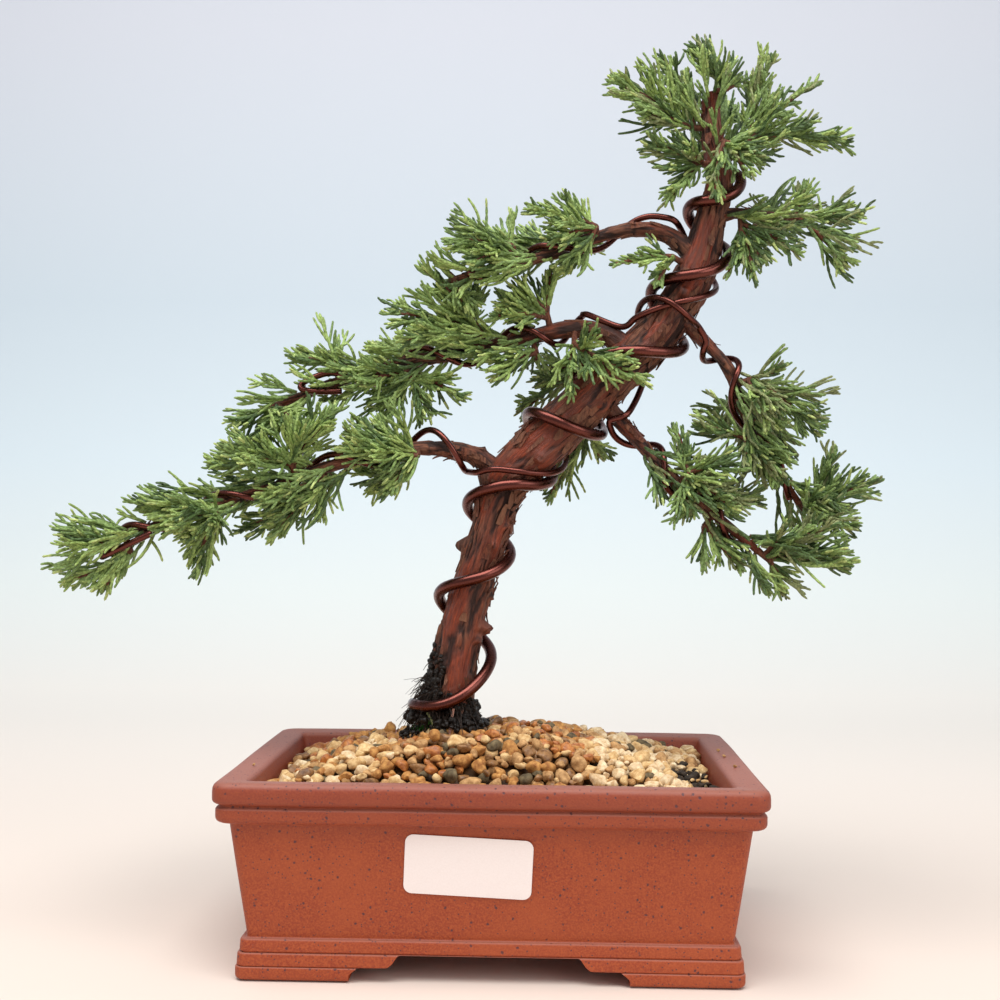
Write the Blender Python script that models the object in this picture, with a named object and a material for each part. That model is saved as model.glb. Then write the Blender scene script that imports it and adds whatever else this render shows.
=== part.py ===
"""A juniper bonsai in a rectangular terracotta pot, modelled as separate solids.

All the sizes below are millimetres, and the two functions that make objects turn them into
Blender's metres. While it is modelled, the pot stands centred on x = y = 0 with its feet on z = 0.
+X is the viewer's right and -Y is the front. At the end everything moves sideways together, until
the box round the whole plant is centred on the origin.
"""
import math
import random

import bmesh
import bpy
import numpy as np

MM = 0.001
GAP = 0.3

# Pot: half-widths in x. The half-depth in y is POT_LONGER less everywhere.
POT_LONGER = 31.0
POT_CORNER = 6.0
CORNER_STEPS = 4
POT_RIM = 100.0
POT_NECK = 97.6
POT_BEAD = 98.6
POT_BODY_TOP = 94.4
POT_BODY_FOOT = 88.2
POT_FOOT_BAND = 90.4
POT_FOOT_STEP = 91.2
POT_FOOT = 92.0
POT_HEIGHT = 72.0
POT_RIM_LOW = 64.0
POT_BEAD_LOW = 57.0
POT_FOOT_HEIGHT = 14.0
POT_FOOT_WALL = 13.0
POT_UNDERSIDE = 11.0
POT_FLOOR = 18.0
POT_MOUTH = 88.0
POT_INNER_NECK = 86.5
POT_INNER_FLOOR = 80.0

# The openings between the feet: half-widths of the low and the high step, and their heights.
OPENING_LONG = (50.5, 34.0)
OPENING_SHORT = (24.0, 12.0)
OPENING_STEP = 5.0
OPENING_TOP = 9.6

# Soil, its flat seat under the trunk, and the collar of peat round the trunk's foot.
SOIL_EDGE = 62.0
SOIL_CREST = 84.0
SOIL_RINGS = 7
SOIL_CORNER = 2.2
EDGE_STEP = 14.0
LUMP_STEP = 11.3
LUMP_HEIGHT = 3.0
LUMP_SEED = 3
SEAT_RADIUS = 21.5
PEAT_INNER = 13.8
PEAT_OUTER = 20.0
PEAT_HEIGHT = 3.4
PEAT_SIDES = 16
PEAT_SWELL = 0.12
PEAT_PROFILE = [(PEAT_INNER, 0.0), (PEAT_OUTER, 0.0), (PEAT_OUTER - 1.0, 0.5),
                (PEAT_INNER + 2.4, 1.0), (PEAT_INNER, 0.8)]

# Blank paper label on the front of the pot.
LABEL_WIDTH = 46.0
LABEL_HEIGHT = 22.0
LABEL_THICK = 0.4
LABEL_CORNER = 3.0
LABEL_X = -7.6
LABEL_Z = 42.0
LABEL_TURN = math.radians(2.5)

# Trunk and boughs: waypoints of the centreline with the limb's radius, (x, y, z, radius).
LIMBS = {
    "trunk": [(-20, 0, 84.3, 10.0), (-16, 1, 114, 9.6), (-12, 1, 134, 8.9), (-5, 0, 157, 8.3),
              (1, 0, 177, 9.0), (8, 0, 188, 10.0), (25, -1, 204, 10.6), (46, -1, 225, 10.1),
              (66, 0, 246, 9.4), (79, 1, 268, 8.7), (85, 1, 289, 6.9), (89, 0, 306, 5.6),
              (86, 0, 324, 4.6), (85, 0, 341, 3.3)],
    "bough_lower_left": [(2, 0, 185, 3.9), (-12, -1, 194, 3.7), (-38, -4, 195, 2.9),
                         (-67, -6, 188, 2.5), (-97, -8, 177, 2.1), (-126, -10, 168, 1.8),
                         (-150, -13, 158, 1.4), (-161, -15, 155, 1.1)],
    "bough_middle_left": [(52, 0, 236, 5.0), (43, 1, 243, 4.2), (27, 3, 245, 3.7),
                          (-2, 5, 238, 3.0), (-40, 8, 231, 2.6), (-66, 9, 224, 2.2),
                          (-90, 10, 215, 1.6)],
    "bough_upper_left": [(78, 0, 276, 4.0), (68, -1, 283, 3.3), (57, -2, 285, 3.1),
                         (40, -3, 282, 2.8), (16, -4, 273, 2.4), (-15, -4, 265, 1.9)],
    "bough_lower_right": [(41, 2, 216, 3.6), (51, 0, 205, 3.0), (59, -4, 196, 2.8),
                          (70, -6, 184, 2.6), (85, -8, 171, 2.2), (104, -10, 155, 1.6)],
    "bough_upper_right": [(69, 1, 254, 3.4), (82, 1, 241, 2.9), (93, 2, 229, 2.6),
                          (99, 2, 214, 2.3), (106, 4, 198, 2.1), (123, 8, 175, 1.6)],
    "bough_top_right": [(84, 1, 289, 3.0), (96, 0, 292, 2.2), (116, -2, 290, 1.5)],
    "bough_apex_right": [(87, 0, 311, 2.6), (98, 0, 320, 1.7)],
}
LIMB_STEP = 7.0
TRUNK_SIDES = 12
BOUGH_SIDES = 6
FLARE = 2.6
FLARE_HEIGHT = 14.0
BARK_LOBES = 0.06

# Stubs where small boughs were cut: distance up the trunk, angle round it, lean, reach, radius.
STUBS = [(72.0, -100.0, -0.5, 4.2, 2.6), (41.0, 75.0, -0.2, 3.4, 2.6), (98.0, -75.0, 0.9, 4.6, 3.0)]
STUB_ROOT = 3.0
STUB_TAPER = 0.55

# Wires. A knot is (limb, distance along it, angle round it, lift off the bark). Angle 0 is the
# front and 90 the right of the trunk, which is the top of a bough that runs to the left.
THICK = 2.35
THIN = 1.3
WIRE_GAP = 0.8
WIRE_STEP = 6.2
WIRE_ROUNDNESS = 1
TRUNK_TURNS = [(6, 7, 30), (50, 60, 73), (88, 98, 116), (126, 133, 143), (151, 175, 190),
               (201, 212, 228), (241, 245, 256)]
WIRES = {
    "wire_lower_left": [
        ("trunk", 134, 215, 0.2), ("trunk", 123, 95, 0.2), ("trunk", 105, -5, 0.4),
        ("trunk", 99, -60, 2.8), ("bough_lower_left", 15, -95, 2.0),
        ("bough_lower_left", 24, 0, 1.0), ("bough_lower_left", 33, 90, 3.0),
        ("bough_lower_left", 43, 180, 1.0), ("bough_lower_left", 74, 450, 0.2),
        ("bough_lower_left", 117, 770, 0.2), ("bough_lower_left", 150, 1080, 0.4),
        ("bough_lower_left", 163, 1230, 1.0), ("bough_lower_left", 172, 1330, 2.0),
        ("bough_lower_left", 168, 1400, 2.5), ("bough_lower_left", 149, 1410, 3.0)],
    "wire_left_pair": [
        ("bough_middle_left", 124, 1030, 2.2), ("bough_middle_left", 145, 1100, 2.4),
        ("bough_middle_left", 130, 1170, 1.2), ("bough_middle_left", 39, 360, 0.2),
        ("bough_middle_left", 20, 90, 0.3), ("trunk", 178, -75, 0.8), ("trunk", 191, -44, 0.2),
        ("trunk", 204, 21, 0.2), ("trunk", 212, 70, 0.2), ("trunk", 220, 150, 0.2),
        ("trunk", 231, 235, 0.6), ("bough_upper_left", 12, 75, 1.0),
        ("bough_upper_left", 21, 100, 1.0), ("bough_upper_left", 60, 380, 0.2),
        ("bough_upper_left", 96, 720, 0.2)],
    "wire_right_pair": [
        ("bough_lower_right", 86, 560, 0.2), ("bough_lower_right", 39, 0, 0.2),
        ("bough_lower_right", 17, -262, 0.6), ("bough_lower_right", 10, -330, 1.5),
        ("trunk", 154, 76, 3.2), ("trunk", 165, 110, 0.6),
        ("trunk", 179, 150, 0.2), ("trunk", 188, 240, 0.2), ("trunk", 195, 300, 1.6),
        ("trunk", 198, 335, 3.2), ("trunk", 196.5, 385, 3.2), ("trunk", 197, 420, 3.0),
        ("bough_upper_right", 20, 0, 1.0), ("bough_upper_right", 39, 360, 0.2),
        ("bough_upper_right", 85, 720, 0.2), ("bough_upper_right", 93, 770, 0.2)],
}

# Foliage. Each mass grows from one stem, on a limb at a distance along it, and spreads into
# fans. A fan is the place of its tip and the half-width that its side twigs reach.
TIP = math.inf
MASSES = {
    "lower_left_inner": ("bough_lower_left", 38, [
        (-64, -12, 202, 13), (-43, -15, 177, 9), (-63, 17, 189, 12), (-50, -22, 192, 10), (-50, -6, 207, 11)]),
    "lower_left_top": ("bough_lower_left", 88, [(-117, -9, 188, 14), (-97, -28, 191, 12), (-76, -18, 204, 12), (-64, -14, 211, 12)]),
    "lower_left_under": ("bough_lower_left", 78, [
        (-91, -12, 158, 13), (-73, -4, 168, 9), (-109, 8, 160, 11), (-92, -24, 172, 11)]),
    "lower_left_outer": ("bough_lower_left", 121, [(-137, -16, 174, 10), (-121, -10, 145, 12), (-127, -26, 162, 10), (-110, -24, 166, 9)]),
    "lower_left_tip": ("bough_lower_left", 160, [
        (-172, -18, 160, 8), (-172, -16, 140, 9), (-158, -12, 136, 10)]),
    "lower_left_back": ("bough_lower_left", 98, [
        (-112, 28, 175, 14), (-73, 30, 188, 12), (-134, 14, 168, 11)]),
    "middle_left_near": ("bough_middle_left", 24, [(57, -22, 222, 11), (29, -18, 217, 10)]),
    "middle_left_under": ("bough_middle_left", 42, [(-3, -8, 226, 13), (15, 6, 230, 9)]),
    "middle_left_main": ("bough_middle_left", 62, [
        (-46, 0, 252, 14), (-33, -6, 271, 11), (-41, -14, 238, 11)]),
    "middle_left_rise": ("bough_middle_left", 34, [(6, 2, 263, 13), (21, 8, 272, 7), (-1, -6, 256, 12), (-4, -14, 248, 10)]),
    "middle_left_mid": ("bough_middle_left", 68, [(-9, 8, 266, 12), (-22, 12, 258, 11)]),
    "middle_left_hang": ("bough_middle_left", 94, [
        (-48, 4, 208, 13), (-30, 0, 206, 11), (-14, -6, 216, 11), (-60, -10, 219, 11)]),
    "middle_left_outer": ("bough_middle_left", 124, [(-86, 4, 234, 11), (-68, 16, 241, 11)]),
    "middle_left_tip": ("bough_middle_left", TIP, [
        (-107, 4, 204, 12), (-99, 8, 189, 13), (-84, 12, 194, 11), (-78, -4, 203, 12)]),
    "middle_left_back": ("bough_middle_left", 88, [
        (-44, 38, 241, 15), (-1, 36, 243, 14), (-72, 32, 231, 12)]),
    "upper_left_inner": ("bough_upper_left", 42, [(12, -8, 292, 11), (25, -8, 265, 11), (22, -18, 278, 10)]),
    "upper_left_mid": ("bough_upper_left", 76, [(-22, -10, 279, 13), (-2, 2, 287, 10), (-12, -18, 268, 10)]),
    "upper_left_tip": ("bough_upper_left", TIP, [(-24, 5, 257, 8), (-12, -6, 249, 9), (-26, -4, 271, 9)]),
    "upper_left_back": ("bough_upper_left", 58, [
        (8, 28, 285, 14), (42, 26, 287, 11), (-15, 22, 276, 11)]),
    "upper_left_sprig": ("trunk", 217, [(44, -14, 268, 6), (62, -15, 260, 6)]),
    "apex_left": ("trunk", 277, [(43, -6, 346, 14), (55, -12, 330, 11), (65, 4, 360, 10)]),
    "apex_low_left": ("trunk", 262, [(57, -10, 319, 11), (66, -12, 294, 10), (76, -18, 312, 9)]),
    "apex_top": ("trunk", 291, [(77, 0, 360, 10), (97, -4, 344, 9)]),
    "apex_front": ("trunk", 268, [(84, -18, 294, 9), (104, -15, 311, 8), (98, -20, 302, 8)]),
    "apex_right": ("bough_apex_right", TIP, [
        (141, -6, 320, 11), (110, 2, 358, 12), (130, 4, 348, 9)]),
    "apex_back": ("trunk", 270, [(98, 34, 345, 14), (74, 32, 326, 14), (112, 26, 321, 11)]),
    "right_top": ("bough_top_right", TIP, [(146, -6, 290, 12), (139, -10, 268, 13),
                                          (124, 0, 304, 7)]),
    "right_top_low": ("bough_top_right", 14, [(102, -10, 262, 10), (91, -10, 264, 6), (120, -14, 272, 10)]),
    "right_top_back": ("bough_top_right", 20, [(124, 34, 295, 15), (110, 30, 277, 12)]),
    "upper_right_outer": ("bough_upper_right", 42, [
        (115, 0, 229, 10), (130, 0, 204, 13), (107, -15, 203, 10)]),
    "upper_right_inner": ("bough_upper_right", 63, [(78, -6, 206, 11), (98, -12, 188, 10), (112, -8, 184, 10)]),
    "upper_right_tip": ("bough_upper_right", TIP, [
        (157, 8, 185, 12), (146, 4, 164, 11), (139, 10, 198, 10), (124, -8, 178, 11)]),
    "upper_right_back": ("bough_upper_right", 50, [(124, 36, 198, 15), (92, 34, 206, 12)]),
    "lower_right_inner": ("bough_lower_right", 48, [
        (93, -20, 191, 14), (71, -8, 205, 8), (75, -16, 168, 11), (92, -24, 172, 10)]),
    "lower_right_under": ("bough_lower_right", 66, [(82, -13, 151, 11), (97, -16, 148, 10)]),
    "lower_right_tip": ("bough_lower_right", TIP, [
        (140, -14, 151, 13), (115, -10, 140, 10), (134, -18, 167, 11), (112, -22, 164, 10)]),
    "lower_right_back": ("bough_lower_right", 62, [(110, 26, 177, 14), (84, 30, 186, 12)]),
    "trunk_left_back": ("trunk", 161, [(8, 23, 213, 11), (14, 27, 230, 9)]),
    "trunk_right_back": ("trunk", 139, [(20, 25, 175, 9), (43, 25, 193, 8)]),
}
MASS_SEED = 7
STEM_LENGTH = 4.5
STEM_RADIUS = 1.5
FORK_STEP = 0.9
TWIG_RADIUS = 1.3
TIP_SHARE = 0.65
TWIG_TWIST = math.radians(31)
TWIG_LEAST = 0.5
SHOOT_SPACING = 4.3
SHOOT_AHEAD = 0.45
SHOOT_ANGLE = math.radians(44)
SHOOT_RADIUS = 0.8
SHOOT_TRIALS = (1.0, 0.75, 0.5)
CLEAR = 0.5

TERRACOTTA = (0.42, 0.16, 0.08)
SOIL_BROWN = (0.38, 0.24, 0.12)
PEAT_BLACK = (0.03, 0.025, 0.02)
PAPER_WHITE = (0.85, 0.84, 0.82)
BARK_BROWN = (0.27, 0.11, 0.06)
COPPER_BROWN = (0.22, 0.09, 0.06)
JUNIPER_GREEN = (0.13, 0.22, 0.05)


def clear_scene():
    """Remove every object that the file opens with."""
    for old in list(bpy.data.objects):
        bpy.data.objects.remove(old, do_unlink=True)


def material(name, colour, roughness, metallic=0.0):
    """The plain material of one name, made where it isn't there yet."""
    made = bpy.data.materials.get(name)
    if made is None:
        made = bpy.data.materials.new(name)
        made.use_nodes = True
        shader = made.node_tree.nodes["Principled BSDF"]
        shader.inputs["Base Color"].default_value = (*colour, 1.0)
        shader.inputs["Roughness"].default_value = roughness
        shader.inputs["Metallic"].default_value = metallic
    return made


def mesh_object(name, bm, finish=None, smooth_angle=None):
    """Turn a bmesh in millimetres into a linked object in metres."""
    bmesh.ops.recalc_face_normals(bm, faces=bm.faces)
    bmesh.ops.scale(bm, vec=(MM, MM, MM), verts=bm.verts)
    mesh = bpy.data.meshes.new(name)
    bm.to_mesh(mesh)
    bm.free()
    if smooth_angle is not None:
        mesh.shade_smooth()
        mesh.set_sharp_from_angle(angle=math.radians(smooth_angle))
    made = bpy.data.objects.new(name, mesh)
    bpy.context.scene.collection.objects.link(made)
    if finish:
        mesh.materials.append(finish)
    return made


def loft(bm, rings):
    """Join rings of points, each with the same count, into one closed shell with flat ends."""
    loops = [[bm.verts.new(tuple(point)) for point in ring] for ring in rings]
    count = len(loops[0])
    for low, high in zip(loops, loops[1:]):
        for i in range(count):
            j = (i + 1) % count
            bm.faces.new((low[i], low[j], high[j], high[i]))
    bm.faces.new(loops[0][::-1])
    bm.faces.new(loops[-1])


def apply_modifiers(thing):
    """Replace an object's mesh by its evaluated mesh and drop its modifiers."""
    depsgraph = bpy.context.evaluated_depsgraph_get()
    mesh = bpy.data.meshes.new_from_object(thing.evaluated_get(depsgraph))
    thing.modifiers.clear()
    thing.data = mesh


def subtract(thing, cutter):
    """Cut one object out of another and remove the cutter."""
    cutter.hide_render = True
    cutter.display_type = "WIRE"
    cut = thing.modifiers.new("cut", "BOOLEAN")
    cut.operation = "DIFFERENCE"
    cut.solver = "EXACT"
    cut.object = cutter
    apply_modifiers(thing)
    bpy.data.objects.remove(cutter, do_unlink=True)


def keep_largest(thing):
    """Drop loose scraps and sealed hollows: only the largest shell of a mesh stays."""
    bm = bmesh.new()
    bm.from_mesh(thing.data)
    left = set(bm.faces)
    shells = []
    while left:
        stack = [left.pop()]
        shell = set(stack)
        while stack:
            for edge in stack.pop().edges:
                for face in edge.link_faces:
                    if face in left and len(edge.link_faces) == 2:
                        left.discard(face)
                        shell.add(face)
                        stack.append(face)
        shells.append(shell)
    largest = max(shells, key=len)
    loose = [face for shell in shells if shell is not largest for face in shell]
    bmesh.ops.delete(bm, geom=loose, context="FACES")
    bm.to_mesh(thing.data)
    bm.free()


def unit(vector):
    """The vector scaled to a length of one."""
    return vector / np.linalg.norm(vector)


def spline(rows, step):
    """Catmull-Rom curve through rows of numbers, sampled about every step of the first three."""
    rows = np.array(rows, float)
    padded = np.vstack([2 * rows[0] - rows[1], rows, 2 * rows[-1] - rows[-2]])
    curve = []
    for i in range(1, len(padded) - 2):
        a, b, c, d = padded[i - 1:i + 3]
        steps = max(1, round(np.linalg.norm(c[:3] - b[:3]) / step))
        for k in range(steps):
            t = k / steps
            curve.append(0.5 * (2 * b + (c - a) * t + (2 * a - 5 * b + 4 * c - d) * t ** 2
                                + (3 * b - a - 3 * c + d) * t ** 3))
    curve.append(rows[-1])
    return np.array(curve)


class Limb:
    """The centreline of the trunk or of a bough, with its radius, every millimetre."""

    def __init__(self, waypoints):
        curve = spline(waypoints, 1.0)
        self.points = curve[:, :3]
        self.radii = curve[:, 3]
        lengths = np.linalg.norm(np.diff(self.points, axis=0), axis=1)
        self.distance = np.concatenate([[0.0], np.cumsum(lengths)])
        self.length = self.distance[-1]

    def centre(self, along):
        """The centreline at a distance along, carried straight on past the tip."""
        point = np.array([np.interp(along, self.distance, self.points[:, i]) for i in range(3)])
        beyond = max(0.0, along - self.length)
        return point + beyond * unit(self.points[-1] - self.points[-4])

    def radius(self, along):
        """The radius at a distance along."""
        return float(np.interp(along, self.distance, self.radii))

    def frame(self, along):
        """Unit vectors along the limb, towards the front, and to the right of both."""
        tangent = unit(self.centre(min(along + 2.0, self.length)) - self.centre(along - 2.0))
        front = np.array([0.0, -1.0, 0.0])
        front = unit(front - front.dot(tangent) * tangent)
        return tangent, front, np.cross(tangent, front)

    def around(self, along, degrees, out):
        """The point that lies out millimetres off the centreline at an angle round the limb."""
        _, front, right = self.frame(along)
        angle = math.radians(degrees)
        return self.centre(along) + out * (math.cos(angle) * front + math.sin(angle) * right)


def rounded_ring(half, z, corner, steps=CORNER_STEPS):
    """A level rounded rectangle whose half-width is half."""
    deep = half - POT_LONGER
    points = []
    for quarter, (sx, sy) in enumerate(((1, 1), (-1, 1), (-1, -1), (1, -1))):
        for step in range(steps + 1):
            angle = math.radians(90 * quarter + 90 * step / steps)
            points.append((sx * (half - corner) + corner * math.cos(angle),
                           sy * (deep - corner) + corner * math.sin(angle), z))
    return points


def opening_cutter(steps, along_x):
    """A prism with the stepped outline of the opening between two feet."""
    low, high = steps
    right = [(low, -1.0), (low, OPENING_STEP - 1.8), (low - 1.8, OPENING_STEP),
             (high + 2.2, OPENING_STEP), (high + 0.6, OPENING_STEP + 1.4),
             (high - 1.2, OPENING_TOP)]
    outline = right + [(-x, z) for x, z in reversed(right)]
    reach = POT_FOOT + 10.0
    if along_x:
        rings = [[(side, x, z) for x, z in outline] for side in (-reach, reach)]
    else:
        rings = [[(x, side, z) for x, z in outline] for side in (-reach, reach)]
    bm = bmesh.new()
    loft(bm, rings)
    return mesh_object("cutter", bm)


def make_pot():
    """Pressed clay tray with a bead, a rolled rim, a banded base and cut feet."""
    profile = [
        (POT_INNER_FLOOR, POT_FLOOR), (POT_INNER_NECK, POT_RIM_LOW), (POT_MOUTH, POT_HEIGHT - 2),
        (POT_MOUTH + 0.4, POT_HEIGHT - 0.7), (POT_MOUTH + 2, POT_HEIGHT),
        (POT_RIM - 3, POT_HEIGHT), (POT_RIM - 1.3, POT_HEIGHT - 0.6), (POT_RIM, POT_HEIGHT - 2.8),
        (POT_RIM, POT_RIM_LOW + 2.4), (POT_RIM - 1.2, POT_RIM_LOW + 0.7),
        (POT_NECK, POT_RIM_LOW), (POT_BEAD, POT_RIM_LOW - 2), (POT_BEAD, POT_BEAD_LOW + 2.6),
        (POT_BEAD - 1.6, POT_BEAD_LOW + 0.6), (POT_BODY_TOP, POT_BEAD_LOW),
        (POT_BODY_FOOT, POT_FOOT_HEIGHT), (POT_FOOT_BAND, POT_FOOT_HEIGHT - 0.3),
        (POT_FOOT_BAND, 10.0), (POT_FOOT_STEP, 9.9), (POT_FOOT_STEP, 5.0), (POT_FOOT, 4.9),
        (POT_FOOT, 0.0), (POT_FOOT - POT_FOOT_WALL, 0.0),
        (POT_FOOT - POT_FOOT_WALL, POT_UNDERSIDE)]
    bm = bmesh.new()
    loft(bm, [rounded_ring(half, z, max(2.0, POT_CORNER + (half - POT_RIM) * 0.3))
              for half, z in profile])
    pot = mesh_object("pot", bm, material("terracotta", TERRACOTTA, 0.6), 40)
    subtract(pot, opening_cutter(OPENING_LONG, False))
    subtract(pot, opening_cutter(OPENING_SHORT, True))


def wall_half(z):
    """The half-width inside the pot at a height, less the gap that the soil keeps."""
    rise = (z - POT_FLOOR) / (POT_RIM_LOW - POT_FLOOR)
    return POT_INNER_FLOOR + rise * (POT_INNER_NECK - POT_INNER_FLOOR) - GAP - 0.05


def divided(ring, longest):
    """A ring whose straight sides are cut into even parts of about the length given."""
    points = []
    for here, after in zip(ring, ring[1:] + ring[:1]):
        side = np.array(after) - here
        parts = max(1, round(np.linalg.norm(side) / longest))
        points += [here + side * k / parts for k in range(parts)]
    return np.array(points)


def lump_heights(rng):
    """Heights at the corners of a square lattice, raised and lowered by turns."""
    count = 2 * math.ceil(POT_RIM / LUMP_STEP) + 1
    return np.array([[rng.uniform(0.6, 1.0) * LUMP_HEIGHT * (-1) ** (i + j)
                      for j in range(count)] for i in range(count)])


def lump(heights, x, y):
    """How far the soil stands above its mound at a place, between four lattice corners."""
    u, v = x / LUMP_STEP + len(heights) // 2, y / LUMP_STEP + len(heights) // 2
    i, j = int(u), int(v)
    u, v = u - i, v - j
    near = heights[i, j] * (1 - u) + heights[i + 1, j] * u
    far = heights[i, j + 1] * (1 - u) + heights[i + 1, j + 1] * u
    return near * (1 - v) + far * v


def make_soil(foot):
    """Gravelly soil that fills the pot and mounds up, in lumps, to a seat under the trunk."""
    heights = lump_heights(random.Random(LUMP_SEED))
    top_half, floor_half = wall_half(SOIL_EDGE), wall_half(POT_FLOOR + GAP)
    edge = divided(rounded_ring(top_half, SOIL_EDGE, SOIL_CORNER, 1), EDGE_STEP)
    narrower = (floor_half / top_half, (floor_half - POT_LONGER) / (top_half - POT_LONGER), 0.0)
    rings = [edge * narrower + (0.0, 0.0, POT_FLOOR + GAP), edge]
    for k in range(1, SOIL_RINGS + 1):
        share = k / SOIL_RINGS
        rise = (SOIL_CREST - SOIL_EDGE) * math.sin(share * math.pi / 2) ** 1.3
        ring = []
        for x, y, z in edge:
            angle = math.atan2(y, x - foot[0])
            seat = (foot[0] + SEAT_RADIUS * math.cos(angle), SEAT_RADIUS * math.sin(angle))
            x, y = x + (seat[0] - x) * share, y + (seat[1] - y) * share
            ring.append((x, y, z + rise + (lump(heights, x, y) if k < SOIL_RINGS else 0.0)))
        rings.append(ring)
    bm = bmesh.new()
    loft(bm, rings)
    mesh_object("soil", bm, material("gravel", SOIL_BROWN, 0.9))


def make_peat(foot):
    """A low lumpy collar of peat and moss that lies on the soil round the trunk's foot."""
    low = SOIL_CREST + GAP
    bm = bmesh.new()
    loops = []
    for radius, height in PEAT_PROFILE:
        loop = []
        for i in range(PEAT_SIDES):
            angle = 2 * math.pi * i / PEAT_SIDES
            swell = 1.0 + PEAT_SWELL * math.sin(5 * angle) * height
            loop.append(bm.verts.new((foot[0] + radius * math.cos(angle),
                                      foot[1] + radius * math.sin(angle),
                                      low + PEAT_HEIGHT * height * swell)))
        loops.append(loop)
    for near, far in zip(loops, loops[1:] + loops[:1]):
        for i in range(PEAT_SIDES):
            j = (i + 1) % PEAT_SIDES
            bm.faces.new((near[i], near[j], far[j], far[i]))
    mesh_object("peat_collar", bm, material("peat", PEAT_BLACK, 0.95))


def make_label():
    """A blank paper label, stuck level with the pot's sloping front."""
    bm = bmesh.new()
    rings = []
    for depth in (0.0, LABEL_THICK):
        ring = []
        for quarter, (sx, sz) in enumerate(((1, 1), (-1, 1), (-1, -1), (1, -1))):
            for step in range(CORNER_STEPS + 1):
                angle = math.radians(90 * quarter + 90 * step / CORNER_STEPS)
                ring.append((sx * (LABEL_WIDTH / 2 - LABEL_CORNER) + LABEL_CORNER * math.cos(angle),
                             -depth,
                             sz * (LABEL_HEIGHT / 2 - LABEL_CORNER)
                             + LABEL_CORNER * math.sin(angle)))
        rings.append(ring)
    loft(bm, rings)
    label = mesh_object("label", bm, material("paper", PAPER_WHITE, 0.7))
    slope = (POT_BODY_TOP - POT_BODY_FOOT) / (POT_BEAD_LOW - POT_FOOT_HEIGHT)
    front = POT_BODY_FOOT + slope * (LABEL_Z - POT_FOOT_HEIGHT) - POT_LONGER
    label.rotation_euler = (math.atan(slope), LABEL_TURN, 0.0)
    label.location = (LABEL_X * MM, -(front + GAP + 0.02) * MM, LABEL_Z * MM)


def bark_share(angle, along, lobes=BARK_LOBES):
    """How far out the lobed bark lies at an angle round a limb, as a share of its radius."""
    return 1.0 - lobes + lobes * math.sin(3 * angle + along / 23.0)


def limb_rings(limb, sides, grow=0.0, flare=False):
    """Rings of a tapering limb whose outline is slightly lobed, as old bark is."""
    stations = np.linspace(0.0, limb.length, max(3, round(limb.length / LIMB_STEP)))
    rings = []
    for along in stations:
        tangent, front, right = limb.frame(max(along, 2.0))
        radius = limb.radius(along)
        lobes = BARK_LOBES
        if flare:
            spread = math.exp(-along / FLARE_HEIGHT)
            radius += FLARE * spread
            lobes += 0.05 * spread
            if along == 0.0:
                front = np.array([0.0, -1.0, 0.0])
                right = np.array([1.0, 0.0, 0.0])
        ring = []
        for i in range(sides):
            angle = 2 * math.pi * i / sides
            out = radius * bark_share(angle, along, lobes) + grow
            ring.append(limb.centre(along)
                        + out * (math.cos(angle) * front + math.sin(angle) * right))
        rings.append(ring)
    return rings


def make_limbs(limbs):
    """The trunk with its cut stubs, and the boughs, each trimmed to clear the trunk's bark."""
    bark = material("bark", BARK_BROWN, 0.9)
    trunk = limbs["trunk"]
    for name, limb in limbs.items():
        bm = bmesh.new()
        sides = TRUNK_SIDES if name == "trunk" else BOUGH_SIDES
        loft(bm, limb_rings(limb, sides, flare=name == "trunk"))
        made = mesh_object(name, bm, bark, 60)
        if name == "trunk":
            fuse(made, [stub_object(trunk, *stub) for stub in STUBS])
        else:
            cutter = bmesh.new()
            loft(cutter, limb_rings(trunk, TRUNK_SIDES, grow=GAP, flare=True))
            subtract(made, mesh_object("cutter", cutter))
            keep_largest(made)


def stub_object(trunk, along, degrees, lean, reach, radius):
    """A short blunt cone that stands out of the trunk."""
    base = trunk.around(along, degrees, trunk.radius(along) - STUB_ROOT)
    tangent = trunk.frame(along)[0]
    direction = unit(base - trunk.centre(along) + lean * STUB_ROOT * tangent)
    bm = bmesh.new()
    loft(bm, prism_rings([base - direction, base + direction * (reach + 2.0)],
                         [radius, radius * STUB_TAPER], 6))
    return mesh_object("stub", bm)


def wire_path(limbs, knots, wire_radius):
    """The wire's centreline: its knots, joined round each limb by even turns, then smoothed."""
    points = []
    for before, after in zip(knots, knots[1:] + knots[-1:]):
        limb = limbs[before[0]]
        rows = np.array([before[1:], after[1:]], float)
        steps = 1
        if before[0] == after[0] and before != after:
            steps = max(1, math.ceil(abs(rows[1][1] - rows[0][1]) / 24.0),
                        math.ceil(abs(rows[1][0] - rows[0][0]) / 8.0))
        for k in range(steps):
            along, degrees, lift = rows[0] + (rows[1] - rows[0]) * k / steps
            out = limb.radius(along) + wire_radius + WIRE_GAP + lift
            points.append(limb.around(along, degrees, out))
    return resample(spline(points, WIRE_STEP / 4), WIRE_STEP)


def resample(points, step):
    """Points at even distances along a line, close to step apart."""
    along = np.concatenate([[0.0], np.cumsum(np.linalg.norm(np.diff(points, axis=0), axis=1))])
    stations = np.linspace(0.0, along[-1], round(along[-1] / step) + 1)
    return np.column_stack([np.interp(stations, along, points[:, i]) for i in range(3)])


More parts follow.
